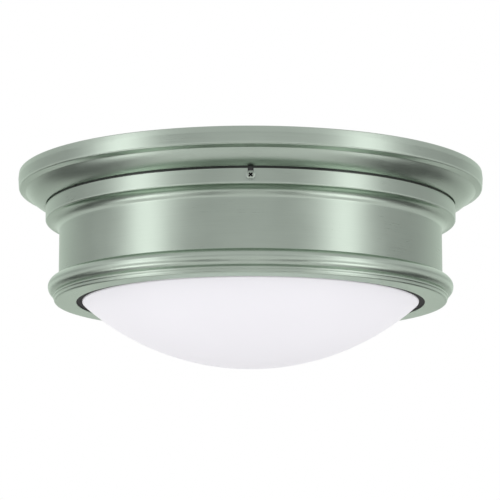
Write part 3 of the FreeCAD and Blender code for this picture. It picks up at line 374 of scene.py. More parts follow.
@dataclass(frozen=True)
class Moulded(Finish):
    """Moulded plastic, rubber, cloth or wire insulation with a fine grain."""

    colour: Colour
    shade: Colour
    roughness: float = 0.5

    def paint(self, paint: Paint) -> None:
        """Lay out the nodes.

        Args:
            paint: the material's node tree.
        """
        place = paint.place()
        grain = paint.noise(place, scale=2600.0, detail=2)
        tone = paint.noise(place, scale=60.0, detail=4)
        paint.surface({
            "Base Color": paint.blend(tone, self.shade, self.colour),
            "Roughness": grain * 0.12 + tone * 0.08 + (self.roughness - 0.1),
            "Normal": paint.bump(grain, depth=0.012 * MM),
        })


@dataclass(frozen=True)
class Glazed(Finish):
    """Glazed porcelain: a wavy gloss over a body with iron specks."""

    colour: Colour
    speck: Colour

    def paint(self, paint: Paint) -> None:
        """Lay out the nodes.

        Args:
            paint: the material's node tree.
        """
        place = paint.place()
        waves = paint.noise(place, scale=90.0, detail=2)
        specks = paint.noise(place, scale=900.0, detail=1).above(edge=0.78, width=0.03)
        paint.surface({
            "Base Color": paint.blend(specks, self.colour, self.speck),
            "Roughness": waves * 0.08 + 0.1,
            "Coat Weight": 0.6,
            "Normal": paint.bump(waves, depth=0.05 * MM, strength=0.6),
        })


@dataclass(frozen=True)
class OpalGlass(Finish):
    """Glass that is white through and through, with an etched or coated surface."""

    colour: Colour
    shade: Colour
    roughness: float = 0.42

    def paint(self, paint: Paint) -> None:
        """Lay out the nodes.

        Args:
            paint: the material's node tree.
        """
        place = paint.place()
        etch = paint.noise(place, scale=3000.0, detail=2)
        milk = paint.noise(place, scale=14.0)
        paint.surface({
            "Base Color": paint.blend(milk, self.shade, self.colour),
            "Roughness": etch * 0.1 + milk * 0.06 + (self.roughness - 0.08),
            "Normal": paint.bump(etch, depth=0.006 * MM, strength=0.5),
            "Specular IOR Level": 0.4,
        })


@dataclass(frozen=True)
class Fibre(Finish):
    """Pressed mineral wool: tangled strands in two tones."""

    colour: Colour
    shade: Colour
    squeeze: float = 0.35

    def paint(self, paint: Paint) -> None:
        """Lay out the nodes.

        Args:
            paint: the material's node tree.
        """
        place = paint.place()
        along = paint.stretch(place, (1.0, self.squeeze, 1.0))
        across = paint.stretch(place, (self.squeeze, 1.0, 1.0))
        tangle = paint.noise(along, scale=900.0, detail=6, roughness=0.75).maximum(
            paint.noise(across, scale=700.0, detail=6, roughness=0.75))
        tufts = paint.noise(place, scale=70.0, detail=4)
        tone = tangle.above(edge=0.4, width=0.35) * (tufts + 0.4)
        paint.surface({
            "Base Color": paint.blend(tone, self.shade, self.colour),
            "Roughness": 0.95,
            "Normal": paint.bump(tangle * 0.7 + tufts * 0.3, depth=0.5 * MM),
        })


NICKEL = BrushedMetal("brushed_nickel", "nickel", (0.38, 0.44, 0.385), (0.50, 0.575, 0.505),
                      Grain.ROUND)
# The screws' cross recesses get full painted shade, near black.
SCREW_NICKEL = BrushedMetal("screw_nickel", "nickel", (0.36, 0.41, 0.36), (0.50, 0.56, 0.50),
                            roughness=0.28, recess_shade=1.0)
ZINC = BrushedMetal("zinc_plate", "zinc_steel", (0.44, 0.47, 0.48), (0.62, 0.64, 0.63),
                    line_scale=1200.0)
BRASS = BrushedMetal("satin_brass", "brass", (0.56, 0.40, 0.16), (0.72, 0.54, 0.25),
                     roughness=0.28, line_scale=1600.0)
CAP_METAL = BrushedMetal("lamp_cap_metal", "lamp_cap", (0.56, 0.56, 0.56), (0.72, 0.72, 0.71),
                         line_scale=1600.0)
SOLDER = BrushedMetal("soft_solder", "lamp_contact", (0.40, 0.40, 0.39), (0.56, 0.56, 0.54),
                      roughness=0.42, line_scale=1000.0)
RIVET_METAL = BrushedMetal("rivet_metal", "aluminium_rivet", (0.54, 0.55, 0.56),
                           (0.68, 0.69, 0.70), roughness=0.36, line_scale=1400.0)
# The back pan's collar is coloured near black on its outer face: painted shade for the gap under
# the trim pan.
WHITE_PAINT = SprayedPaint("sprayed_white", "white_paint", (0.80, 0.80, 0.78), (0.70, 0.70, 0.67),
                           gap_shade_from=0.1744)
GREEN_DIP = SprayedPaint("green_dip", "green_steel", (0.05, 0.24, 0.08), (0.03, 0.17, 0.06), 0.25)
BOWL_GLASS = OpalGlass("frosted_white_glass", "frosted_glass", (0.91, 0.895, 0.945),
                       (0.89, 0.875, 0.925))
LAMP_GLASS = OpalGlass("coated_lamp_glass", "lamp_glass", (0.88, 0.88, 0.86), (0.84, 0.84, 0.82),
                       0.3)
PORCELAIN = Glazed("white_porcelain", "porcelain", (0.80, 0.79, 0.75), (0.42, 0.36, 0.28))
SILICONE = Moulded("black_silicone", "silicone", (0.012, 0.012, 0.012), (0.007, 0.007, 0.007),
                   0.85)
BLACK_NYLON = Moulded("moulded_black", "black_nylon", (0.022, 0.022, 0.023), (0.012, 0.012, 0.012))
WHITE_NYLON = Moulded("moulded_white", "white_nylon", (0.72, 0.72, 0.68), (0.64, 0.64, 0.60), 0.45)
BLACK_WIRE = Moulded("black_wire", "black_insulation", (0.02, 0.02, 0.02), (0.011, 0.011, 0.011),
                     0.35)
WHITE_WIRE = Moulded("white_wire", "white_insulation", (0.75, 0.75, 0.72), (0.66, 0.66, 0.62), 0.35)
GREEN_WIRE = Moulded("green_wire", "green_insulation", (0.04, 0.22, 0.07), (0.02, 0.15, 0.04), 0.35)
FLAG_CLOTH = Moulded("flag_cloth", "", (0.012, 0.012, 0.012), (0.006, 0.006, 0.006), 0.95)
WOOL = Fibre("mineral_wool", "mineral_fibre", (0.72, 0.60, 0.30), (0.34, 0.26, 0.10))


# Outlines and surfaces

@dataclass(frozen=True)
class Corner:
    """A corner of an outline in millimetres: radius and height, with the arc that reaches it."""

    radius: float
    height: float
    curve: float = 0.0
    sense: Sense = Sense.LEFT


def walk(corners: Sequence[Corner], spacing: float) -> Array:
    """Follow an outline in even steps.

    A straight edge is divided evenly. An arc turns about the point that lies its radius from
    both ends, to the named side of the way between them.

    Args:
        corners: the closed outline.
        spacing: step in millimetres.

    Returns:
        Points (n, 2) of radius and height.
    """
    pieces = []
    for index, after in enumerate(corners):
        here = corners[index - 1]
        start = np.array([here.radius, here.height])
        stop = np.array([after.radius, after.height])
        way = stop - start
        length = float(np.hypot(*way))
        if after.curve == 0:
            share = np.arange(0, 1, 1 / max(1, round(length / spacing)))[:, None]
            pieces.append(start + way * share)
            continue
        reach = math.sqrt(max(after.curve ** 2 - length ** 2 / 4, 0.0))
        left = np.array([-way[1], way[0]]) / length
        centre = (start + stop) / 2 + left * reach * after.sense.value
        first = math.atan2(*(start - centre)[::-1])
        sweep = 2 * math.asin(min(1.0, length / 2 / after.curve)) * after.sense.value
        steps = max(2, round(abs(sweep) * after.curve / spacing))
        angles = first + sweep * np.arange(steps) / steps
        pieces.append(centre + after.curve * np.stack([np.cos(angles), np.sin(angles)], 1))
    return np.concatenate(pieces)


def soften(points: Array, spacing: float, softness: float) -> Array:
    """Round the corners of a closed outline by a Gaussian blur of its points.

    Args:
        points: evenly spaced points (n, 2).
        spacing: their step.
        softness: the blur's radius, in the same unit.

    Returns:
        Blurred points (n, 2).
    """
    steps = np.fft.fftfreq(len(points)) * TURN
    gain = np.exp(-0.5 * (steps * softness / spacing) ** 2)[:, None]
    return np.real(np.fft.ifft(np.fft.fft(points, axis=0) * gain, axis=0))


def thin_out(points: Array, count: int, turn_share: float = 0.6) -> Array:
    """Keep a number of points, closer together where the outline turns.

    Each step's weight is its share of the length plus its share of the turning, and the
    kept points lie at equal amounts of the summed weight.

    Args:
        points: closed outline (n, 2).
        count: how many points to keep.
        turn_share: how much of the weight the turning has.

    Returns:
        Points (count, 2).
    """
    ahead = np.roll(points, -1, 0) - points
    lengths = np.hypot(ahead[:, 0], ahead[:, 1])
    heading = np.arctan2(ahead[:, 1], ahead[:, 0])
    turning = np.abs((np.diff(heading, append=heading[0]) + math.pi) % TURN - math.pi)
    turning = np.minimum(turning, SHARPEST_TURN)
    weight = (1 - turn_share) * lengths / lengths.sum() + turn_share * turning / turning.sum()
    summed = np.concatenate([[0.0], np.cumsum(weight)])
    wanted = np.arange(count) / count * summed[-1]
    closed = np.vstack([points, points[:1]])
    return np.stack([np.interp(wanted, summed, closed[:, axis]) for axis in (0, 1)], 1)


def outline(corners: Sequence[Corner], count: int, softness: float = 0.25,
            spacing: float = 0.05) -> Array:
    """A closed outline with softened corners, in metres.

    Args:
        corners: its corners in millimetres.
        count: number of points.
        softness: rounding of the corners in millimetres.
        spacing: step of the fine outline in millimetres.

    Returns:
        Points (count, 2) of radius and height in metres.
    """
    fine = walk(corners, spacing)
    touching = fine[:, 0] < spacing / 2
    fine = soften(fine, spacing, softness)
    fine[touching, 0] = 0.0
    kept = thin_out(fine, count)
    kept[:, 0] = np.maximum(kept[:, 0], 0.0)
    return kept * MM


def grid_faces(rows: int, columns: int, closed: bool) -> Array:
    """Quads over a grid of points whose index is row times columns plus column.

    Args:
        rows: number of rows. The last one joins the first.
        columns: number of columns.
        closed: whether the last column joins the first too.

    Returns:
        Indices (n, 4).
    """
    row = np.arange(rows)[:, None]
    column = np.arange(columns if closed else columns - 1)[None, :]
    after, right = (row + 1) % rows, (column + 1) % columns
    corners = (row * columns + column, after * columns + column,
               after * columns + right, row * columns + right)
    return np.stack([corner.ravel() for corner in corners], 1)


def even_angles(count: int) -> Array:
    """Angles all round a circle, in radians."""
    return np.arange(count) * (TURN / count)


def turned(radius: Array, height: Array, angles: Array,
           closed: bool = True) -> tuple[Array, Array]:
    """Carry an outline round the Z axis.

    Point (i, j) is (radius cos angle_i, radius sin angle_i, height), where radius and height
    may differ from one angle to the next.

    Args:
        radius: (columns,) or (rows, columns), in metres.
        height: the same.
        angles: (rows,) in radians.
        closed: whether the outline's last point joins its first.

    Returns:
        Vertices (rows times columns, 3) and quads.
    """
    angle = angles[:, None]
    radius, height = np.broadcast_arrays(radius, height)
    radius = np.broadcast_to(radius, (len(angles), radius.shape[-1]))
    height = np.broadcast_to(height, radius.shape)
    points = np.stack([radius * np.cos(angle), radius * np.sin(angle), height], 2).reshape(-1, 3)
    return points, grid_faces(len(angles), radius.shape[1], closed)


@dataclass(frozen=True)
class Seat:
    """Where a piece with an axis of its own sits: its Z axis runs along, its X axis up."""

    origin: Place = (0.0, 0.0, 0.0)
    along: Place = (0.0, 0.0, 1.0)
    up: Place = (1.0, 0.0, 0.0)

    def carry(self, points: Array) -> Array:
        """Move points from the piece's own axes to the light's.

        Args:
            points: (n, 3) in the piece's own axes.

        Returns:
            Points (n, 3) in the light's.
        """
        along, up = np.array(self.along), np.array(self.up)
        axes = np.stack([up, np.cross(along, up), along])
        return points @ axes + np.array(self.origin)


def radial_seat(angle: float, distance: float, height: float, inwards: bool) -> Seat:
    """A seat whose axis lies along a radius of the light.

    Args:
        angle: direction from the light's axis, in degrees.
        distance: how far out the seat is, in millimetres.
        height: its height in millimetres.
        inwards: whether its axis points to the light's axis.

    Returns:
        The seat.
    """
    x, y = math.cos(math.radians(angle)), math.sin(math.radians(angle))
    sign = -1.0 if inwards else 1.0
    place = (x * distance * MM, y * distance * MM, height * MM)
    return Seat(place, (x * sign, y * sign, 0.0), (0.0, 0.0, 1.0))


def link(name: str, data: bpy.types.ID) -> bpy.types.Object:
    """Put a mesh, lamp or camera into the scene.

    Args:
        name: the object's name.
        data: the mesh, lamp or camera.

    Returns:
        The new object.
    """
    made = bpy.data.objects.new(name, data)
    bpy.context.scene.collection.objects.link(made)
    return made


def build(name: str, points: Array, faces: Array, finish: Finish, body: str, node: str,
          crisp: float = 35.0, deep: Array | None = None) -> bpy.types.Object:
    """Make a closed piece from points and quads.

    Equal points are merged, which closes the poles, and the faces are turned outwards.

    Args:
        name: the piece's name.
        points: (n, 3) in metres.
        faces: (m, 4) indices.
        finish: its finish.
        body: the body that it rides on.
        node: the CAD node that it stands for.
        crisp: edges that turn by more degrees than this stay sharp.
        deep: how far each point is sunk, from 0 to 1, which a finish may darken as painted shade.

    Returns:
        The new object.
    """
    mesh = bpy.data.meshes.new(name)
    mesh.vertices.add(len(points))
    mesh.vertices.foreach_set("co", np.ascontiguousarray(points, np.float32).ravel())
    mesh.loops.add(faces.size)
    mesh.loops.foreach_set("vertex_index", np.ascontiguousarray(faces, np.int32).ravel())
    mesh.polygons.add(len(faces))
    mesh.polygons.foreach_set("loop_start", np.arange(0, faces.size, 4, dtype=np.int32))
    mesh.update(calc_edges=True)
    if deep is not None:
        sunk = mesh.attributes.new(DEEP, "FLOAT", "POINT")
        sunk.data.foreach_set("value", deep.astype(np.float32))
    work = bmesh.new()
    work.from_mesh(mesh)
    bmesh.ops.remove_doubles(work, verts=work.verts, dist=MERGE_DISTANCE)
    bmesh.ops.recalc_face_normals(work, faces=work.faces)
    work.to_mesh(mesh)
    work.free()
    mesh.shade_smooth()
    mesh.set_sharp_from_angle(angle=math.radians(crisp))
    piece = link(name, mesh)
    dress(piece, finish)
    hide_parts(node)
    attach(piece, body)
    LOG.info("%s: %d faces on %s", name, len(mesh.polygons), body)
    return piece


def spin(name: str, corners: Sequence[Corner], finish: Finish, body: str, node: str,
         count: int, steps: int, softness: float = 0.25, crisp: float = 35.0,
         seat: Seat = Seat()) -> None:
    """Build a piece by turning a closed section about its axis.

    Args:
        name: the piece's name.
        corners: the section's corners in millimetres.
        finish: its finish.
        body: the body that it rides on.
        node: the CAD node that it stands for.
        count: number of points round the section.
        steps: number of angles round the axis.
        softness: rounding of the corners in millimetres.
        crisp: edges that turn by more degrees than this stay sharp.
        seat: where it sits.
    """
    section = outline(corners, count, softness)
    points, faces = turned(section[:, 0], section[:, 1], even_angles(steps))
    build(name, seat.carry(points), faces, finish, body, node, crisp)


def dress(piece: bpy.types.Object, finish: Finish) -> None:
    """Give a piece or a CAD node its finish.

    Args:
        piece: the object.
        finish: its finish.
    """
    piece.data.materials.clear()
    piece.data.materials.append(finish.material())


def dress_nodes(finish: Finish, *nodes: str) -> None:
    """Give CAD nodes their finish.

    Args:
        finish: the finish.
        nodes: the nodes' names.
    """
    for node in nodes:
        dress(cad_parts[node], finish)
        LOG.info("%s: CAD node in %s", node, finish.name)


# The nickel pan and ring, turned from sheet

@dataclass(frozen=True)
class TrimPan:
    """The pan on the ceiling: a barrelled rim, a crease and a rounded moulding."""

    rim: float = 200.0
    rim_inset: float = 0.5
    belly: float = 5.0
    rim_height: float = 12.4
    bead: float = 2.0
    taper: float = 0.5
    hem: float = 6.0
    crease: tuple[float, float] = (193.6, 15.8)
    moulding: float = 50.365
    moulding_end: float = 177.2
    depth: float = 27.2
    flange: float = 175.1
    flange_top: float = 16.6
    sheet: float = 1.0

    def corners(self) -> list[Corner]:
        """Its section, from the hem out, down and back inside.

        Returns:
            The corners in millimetres.
        """
        left, right = Sense.LEFT, Sense.RIGHT
        edge = self.rim - self.rim_inset
        foot = self.rim_height + self.bead
        low = self.rim - self.taper
        sheet = self.sheet
        return [Corner(*row) for row in (
            (edge - self.hem, 0), (edge, 0), (self.rim, -self.belly), (low, -self.rim_height),
            (low - self.bead, -foot, self.bead, right), (self.crease[0], -self.crease[1]),
            (self.moulding_end, -self.depth, self.moulding, right),
            (self.flange, -self.depth), (self.flange, -self.flange_top),
            (self.flange + sheet, -self.flange_top), (self.flange + sheet, sheet - self.depth),
            (self.moulding_end, sheet - self.depth),
            (self.crease[0] - sheet, sheet - self.crease[1], self.moulding - sheet, left),
            (low - self.bead, sheet - foot),
            (low - sheet, -self.rim_height, self.bead - sheet, left),
            (self.rim - sheet, -self.belly), (edge - sheet, -sheet), (edge - self.hem, -sheet))]

    def make(self) -> None:
        """Build the pan over its CAD node."""
        spin("trim_pan", self.corners(), NICKEL, "root", "trim_ring", count=240, steps=384)


@dataclass(frozen=True)
class ShadeRing:
    """The ring under the pan: band, hollow moulding, drum, large roll, beads and lip."""

    band: float = 176.3
    band_top: float = 28.7
    band_edge: float = 41.3
    band_round: float = 1.5
    cove_start: float = 174.2
    cove: float = 10.903
    drum: float = 164.4
    drum_top: float = 49.2
    roll_top: float = 91.0
    shoulder: float = 166.6
    roll: float = 173.5
    shoulder_curve: float = 6.9
    roll_curve: float = 7.139
    roll_end: tuple[float, float] = (169.0, 104.6)
    bead_root: tuple[float, float] = (168.2, 105.0)
    bead_middle: tuple[float, float] = (168.0, 107.6)
    bead_curves: tuple[float, float] = (1.344, 2.027)
    lip: float = 166.0
    lip_bore: float = 149.1
    depth: float = 110.6
    sheet: float = 1.0
    screw_angles: tuple[float, ...] = (270.0, 30.0, 150.0)
    screw_depth: float = 34.7
    notch: float = 2.3
    notch_steps: int = 25
    turns: int = 360
    fine_reach: float = 1.05
    coarse_reach: float = 1.3

    def corners(self) -> list[Corner]:
        """Its section, from the band's top down the outside and back up the inside.

        Returns:
            The corners in millimetres.
        """
        left, right = Sense.LEFT, Sense.RIGHT
        wall = self.sheet
        widest = self.roll_top + self.shoulder_curve
        inner_bead = self.bead_middle[0] - wall
        band, drum, lip_top = self.band - wall, self.drum - wall, wall - self.depth
        return [Corner(*row) for row in (
            (band, -self.band_top), (self.band, -self.band_top),
            (self.band, self.band_round - self.band_edge),
            (self.band - self.band_round, -self.band_edge, self.band_round, right),
            (self.cove_start, -self.band_edge), (self.drum, -self.drum_top, self.cove, left),
            (self.drum, -self.roll_top), (self.shoulder, -self.roll_top),
            (self.roll, -widest, self.shoulder_curve, right),
            (self.roll_end[0], -self.roll_end[1], self.roll_curve, right),
            (self.bead_root[0], -self.bead_root[1]),
            (self.bead_middle[0], -self.bead_middle[1], self.bead_curves[0], right),
            (self.lip, -self.depth, self.bead_curves[1], right),
            (self.lip_bore, -self.depth), (self.lip_bore, lip_top),
            (inner_bead, lip_top), (inner_bead, -self.bead_root[1]),
            (self.roll_end[0] - wall, wall / 2 - self.roll_end[1]),
            (self.roll - wall, -widest, self.roll_curve - wall, left),
            (self.shoulder, -self.roll_top - wall, self.shoulder_curve - wall, left),
            (drum, -self.roll_top - wall), (drum, -self.drum_top),
            (self.cove_start, wall - self.band_edge, self.cove + wall, right),
            (band, wall - self.band_edge))]

    def from_screws(self, around: Array) -> Array:
        """How far each angle is from each screw's (rows, screws), in radians."""
        screws = np.radians(np.array(self.screw_angles))
        return np.abs((around[:, None] - screws + math.pi) % TURN - math.pi)

    def angles(self) -> Array:
        """Even angles, with the notches' own finer ones worked in.

        Returns:
            The angles in radians, in order.
        """
        half = self.notch / self.band
        quarter = math.pi / 2
        near = half * self.fine_reach * np.sin(np.linspace(-quarter, quarter, self.notch_steps))
        around = even_angles(self.turns)
        around = around[self.from_screws(around).min(1) > half * self.coarse_reach]
        fine = np.radians(np.array(self.screw_angles))[:, None] + near
        return np.sort(np.concatenate([around, fine.ravel() % TURN]))

    def make(self) -> None:
        """Build the ring, its upper edge cut down to a rounded notch at each screw."""
        section = outline(self.corners(), count=236)
        around = self.angles()
        aside = self.from_screws(around).min(1) * self.band
        dip = np.sqrt(np.maximum(self.notch ** 2 - aside ** 2, 0.0))
        edge = np.where(aside < self.notch, -self.screw_depth - dip, -self.band_top) * MM
        height = np.minimum(section[None, :, 1], edge[:, None])
        points, faces = turned(section[:, 0], height, around)
        build("shade_ring", points, faces, NICKEL, "shade", "drum_ring")
        dress_nodes(SILICONE, "glass_gasket")


@dataclass(frozen=True)
class GlassBowl:
    """The frosted bowl: a shallow cap of a sphere with a thick flange."""

    neck: float = 144.0
    flange: float = 159.5
    wall: float = 4.0
    neck_depth: float = 110.5
    flange_bottom: float = 108.5
    apex: float = 165.0

    def corners(self) -> list[Corner]:
        """Its section, from the bottom out, over the flange and back.

        Returns:
            The corners in millimetres.
        """
        drop = self.apex - self.neck_depth
        outer = (self.neck ** 2 + drop ** 2) / (2 * drop)
        top = self.flange_bottom - self.wall
        bore = self.neck - self.wall
        rise = self.apex - self.wall - top
        inner = (bore ** 2 + rise ** 2) / (2 * rise)
        return [Corner(*row) for row in (
            (0, -self.apex), (self.neck, -self.neck_depth, outer, Sense.LEFT),
            (self.neck, -self.flange_bottom), (self.flange, -self.flange_bottom),
            (self.flange, -top), (bore, -top), (0, self.wall - self.apex, inner, Sense.RIGHT))]

    def make(self) -> None:
        """Build the bowl over its CAD node."""
        spin("glass_bowl", self.corners(), BOWL_GLASS, "glass", "glass_dome", count=220,
             steps=288, softness=0.5)


# Threads, screws and nuts

def thread_wave(height: Array, angle: Array, pitch: float) -> Array:
    """A right-hand thread's ridge, from 0 at the root to 1 at the crest.

    The ridge is a sine of height over pitch less angle over a full turn, made a little
    squarer by taking off a share of its cube.

    Args:
        height: heights along the axis.
        angle: angles round it.
        pitch: climb of one turn, in the heights' unit.

    Returns:
        The ridge (angles, heights).
    """
    squareness = 0.15
    wave = np.sin(TURN * (height[None, :] / pitch - angle[:, None] / TURN))
    return 0.5 + 0.5 * wave * (1 + squareness - squareness * wave ** 2)


@dataclass(frozen=True)
class Rod:
    """A threaded rod that runs down from height 0, in millimetres.

    Its ridge fades to a share of its height, the faintest, over the runout at the lower end.
    """

    length: float
    runout: float
    faintest: float
    steps: int
    radius: float = 1.95
    pitch: float = 0.7
    ridge: float = 0.35

    def surface(self, around: Array) -> tuple[Array, Array]:
        """The thread as a radius over height and angle: the rod's, less what the ridge lacks.

        Args:
            around: angles of the rows.

        Returns:
            Heights (columns,) and radii (rows, columns).
        """
        along = np.linspace(0, -self.length, round(self.length / self.pitch * self.steps))
        fade = np.clip((self.length + along) / self.runout, self.faintest, 1)
        wave = thread_wave(along, around, self.pitch)
        return along, self.radius - self.ridge * (1 - wave * fade)


@dataclass(frozen=True)
class SideScrew:
    """A pan head screw with a cross recess and a cut thread."""

    angle: float
    number: int
    face: float = 177.2
    depth: float = 34.7
    head: float = 3.5
    head_height: float = 2.4
    edge: float = 1.0
    rise: float = 0.4
    rod: Rod = Rod(length=11.2, runout=0.7, faintest=0.2, steps=9)
    recess: float = 1.3
    arm: float = 2.1
    arm_half_width: float = 0.65
    arm_slope: float = 0.18
    arm_power: float = 0.45
    rows: int = 144
    head_columns: int = 72

    def head_surface(self, around: Array) -> tuple[Array, Array, Array]:
        """The head's top as a height over a disc, with the cross pressed into it.

        The height is the dome less the recess. The recess is deepest in the middle and, along
        each arm, falls off with the distance from its middle line and from the centre.

        Args:
            around: angles of the rows.

        Returns:
            Radii, heights and share of the recess (rows of angles, columns from the middle
            to the rim).
        """
        out = self.head * np.sqrt(np.linspace(0, 1, self.head_columns))[None, :]
        flat = self.head - self.edge
        over = np.clip((out - flat) / self.edge, 0, 1)
        dome = self.head_height - self.rise * (np.minimum(out, flat) / flat) ** 2
        dome = dome - self.edge * (1 - np.sqrt(1 - over ** 2))
        turn = around[:, None] + TURN / 8
        x, y = out * np.cos(turn), out * np.sin(turn)
        arms = []
        for across, along in ((x, y), (y, x)):
            side = np.clip((self.arm_half_width - np.abs(across)) / self.arm_slope, 0, 1)
            far = np.clip((self.arm - np.abs(along)) / self.arm, 0, 1)
            arms.append(side * far ** self.arm_power)
        press = np.maximum(*arms)
        return np.broadcast_to(out, press.shape), dome - press * self.recess, press

    def make(self) -> None:
        """Build the screw: the head's top, its side and underside, and the threaded shank."""
        around = even_angles(self.rows)
        top_radius, top_height, press = self.head_surface(around)
        along, shank = self.rod.surface(around)
        zero = np.zeros((self.rows, 1))
        radius = np.hstack([top_radius, zero + self.head, shank, zero])
        height = np.hstack([top_height, zero, np.broadcast_to(along, shank.shape),
                            zero - self.rod.length])
        points, faces = turned(radius * MM, height * MM, around, closed=False)
        # The recess's depth is stored on the points, and the screw's finish turns it into painted
        # shade.
        deep = np.zeros(radius.shape)
        deep[:, :self.head_columns] = press
        seat = radial_seat(self.angle, self.face, -self.depth, inwards=False)
        screw = f"side_screw_{self.number}"
        build(f"side_screw_turned_{self.number}", seat.carry(points), faces, SCREW_NICKEL,
              screw, screw, crisp=40, deep=deep.ravel())
        dress_nodes(ZINC, f"side_washer_{self.number}")


@dataclass(frozen=True)
class HangingNut:
    """A hexagon nut with chamfered corners, and the threaded stud that it runs on."""

    x: float
    number: int
    flats: float = 7.0
    height: float = 3.2
    top: float = 16.2
    bore: float = 2.0
    countersink: float = 0.3
    lead_in: float = 0.25
    bore_levels: int = 36
    ridge: float = 0.22
    chamfer_heights: tuple[float, ...] = (0, 0, 0.22, 0.5)
    chamfer_reach: tuple[float, ...] = (0, 0.05, 0.35, 2)
    rows: int = 144
    stud_rows: int = 40
    stud: Rod = Rod(length=25.0, runout=0.8, faintest=0.25, steps=8)

    def make_nut(self) -> None:
        """Build the nut: a prism whose radius is the hexagon's or, at its ends, a cone's."""
        around = even_angles(self.rows)
        flank = (around + TURN / 12) % (TURN / 6) - TURN / 12
        hexagon = self.flats / 2 / np.cos(flank)
        low, reach = np.array(self.chamfer_heights), np.array(self.chamfer_reach)
        cone = self.flats / 2 + np.concatenate([reach, reach[::-1]])
        radius = np.minimum(hexagon[:, None], cone)
        radius[:, [0, -1]] = self.bore + self.countersink
        inner_levels = np.linspace(self.height - self.lead_in, self.lead_in, self.bore_levels)
        wave = thread_wave(-inner_levels, around, self.stud.pitch)
        radius = np.hstack([radius, self.bore + self.ridge * (1 - wave)])
        height = np.concatenate([low, self.height - low[::-1], inner_levels])
        points, faces = turned(radius * MM, (height - self.top - self.height) * MM, around)
        points[:, 0] += self.x * MM
        nut = f"mounting_nut_{self.number}"
        build(f"hexagon_nut_{self.number}", points, faces, ZINC, nut, nut, crisp=25)
        dress_nodes(ZINC, f"stud_washer_{self.number}")

    def stud_surface(self) -> tuple[Array, Array]:
        """The stud's thread over its whole length, closed at both ends.

        Returns:
            Vertices (n, 3) in metres and quads.
        """
        around = even_angles(self.stud_rows)
        along, radius = self.stud.surface(around)
        end = np.zeros((len(around), 1))
        levels = np.concatenate([[0.0], along, [-self.stud.length]])
        points, faces = turned(np.hstack([end, radius, end]) * MM, levels * MM, around,
                               closed=False)
        points[:, 0] += self.x * MM
        return points, faces


# Lamps

@dataclass(frozen=True)
class Lamp:
    """One lamp with its holder: globe, rolled screw cap, insulator and solder contact."""

    angle: float
    number: int
    contact_distance: float = 149.0
    depth: float = 54.0
    length: float = 104.0
    globe: float = 30.0
    shoulder: float = 26.0
    wall: float = 1.2
    neck: float = 11.6
    neck_start: float = 20.0
    neck_end: float = 30.0
    cap_crest: float = 13.0
    cap_root: float = 12.3
    cap_bore: float = 11.8
    cap_floor: float = 6.0
    cap_front: float = 27.0
    thread_start: float = 4.5
    thread_fade: float = 1.5
    pitch: float = 3.63
    thread_turns: int = 5
    cap_levels: int = 130
    cap_rows: int = 96
    tip: float = 4.5
    tip_face: float = 3.5
    tip_dome: float = 0.15
    tip_height: float = 1.3
    insulator: tuple[tuple[float, float], ...] = ((6.0, 1.9), (10.6, 3.6), (11.9, 4.1))

    def seat(self) -> Seat:
        """The lamp's end contact, with the axis towards the light's centre."""
        return radial_seat(self.angle, self.contact_distance, -self.depth, inwards=True)

    def make_globe(self) -> None:
        """Build the globe: a neck that flares through a cone into a sphere."""
        middle = self.length - self.globe
        inner = self.globe - self.wall
        narrow = self.shoulder - self.wall
        bore = self.neck - self.wall
        flare = middle - math.sqrt(self.globe ** 2 - self.shoulder ** 2)
        flare_in = middle - math.sqrt(inner ** 2 - narrow ** 2)
        corners = [Corner(*row) for row in (
            (bore, self.neck_start), (self.neck, self.neck_start), (self.neck, self.neck_end),
            (self.shoulder, flare), (0, self.length, self.globe, Sense.LEFT),
            (0, self.length - self.wall), (narrow, flare_in, inner, Sense.RIGHT),
            (bore, self.neck_end))]
        spin(f"lamp_globe_{self.number}", corners, LAMP_GLASS, f"bulb_{self.number}",
             f"bulb_globe_{self.number}", count=150, steps=96, softness=0.35, crisp=60,
             seat=self.seat())

    def make_cap(self) -> None:
        """Build the cap, whose wall rises and falls in a rolled helical thread."""
        around = even_angles(self.cap_rows)
        along = np.linspace(self.thread_start, self.cap_front, self.cap_levels)
        climb = along - self.thread_start
        phase = climb / self.pitch - around[:, None] / TURN
        left = self.pitch * self.thread_turns - climb
        ends = np.clip(np.minimum(climb, left) / self.thread_fade, 0, 1)
        wall = self.cap_root + (self.cap_crest - self.cap_root) * ends * (
            0.5 - 0.5 * np.cos(TURN * phase))
        base = np.array([(0, self.tip_height), (self.tip, self.tip_height), *self.insulator])
        back = np.array([(self.cap_bore, self.cap_front), (self.cap_bore, self.cap_floor),
                         (0, self.cap_floor)])
        rows = (len(around), 1)
        radius = np.hstack([np.tile(base[:, 0], rows), wall, np.tile(back[:, 0], rows)])
        levels = np.concatenate([base[:, 1], along, back[:, 1]])
        points, faces = turned(radius * MM, levels * MM, around, closed=False)
        build(f"lamp_cap_{self.number}", self.seat().carry(points), faces, CAP_METAL,
              f"bulb_{self.number}", f"bulb_base_{self.number}", crisp=50)

    def make_tip(self) -> None:
        """Build the solder contact, slightly domed, with a rounded foot."""
        corners = [Corner(0, 0), Corner(self.tip_face, self.tip_dome),
                   Corner(self.tip, self.tip_height), Corner(0, self.tip_height)]
        tip = f"bulb_tip_{self.number}"
        spin(f"lamp_contact_{self.number}", corners, SOLDER, tip, tip, count=40, steps=48,
             softness=0.15, crisp=50, seat=self.seat())

    def make(self) -> None:
        """Build the lamp and dress its holder's CAD nodes."""
        self.make_globe()
        self.make_cap()
        self.make_tip()
        for finish, kind in ((PORCELAIN, "holder_body"), (BRASS, "screw_shell"),
                             (BRASS, "centre_contact"), (ZINC, "holder_bracket"),
                             (BLACK_WIRE, "black_lead"), (WHITE_WIRE, "white_lead")):
            dress_nodes(finish, f"{kind}_{self.number}")


# The pan inside, its pad and its fastenings

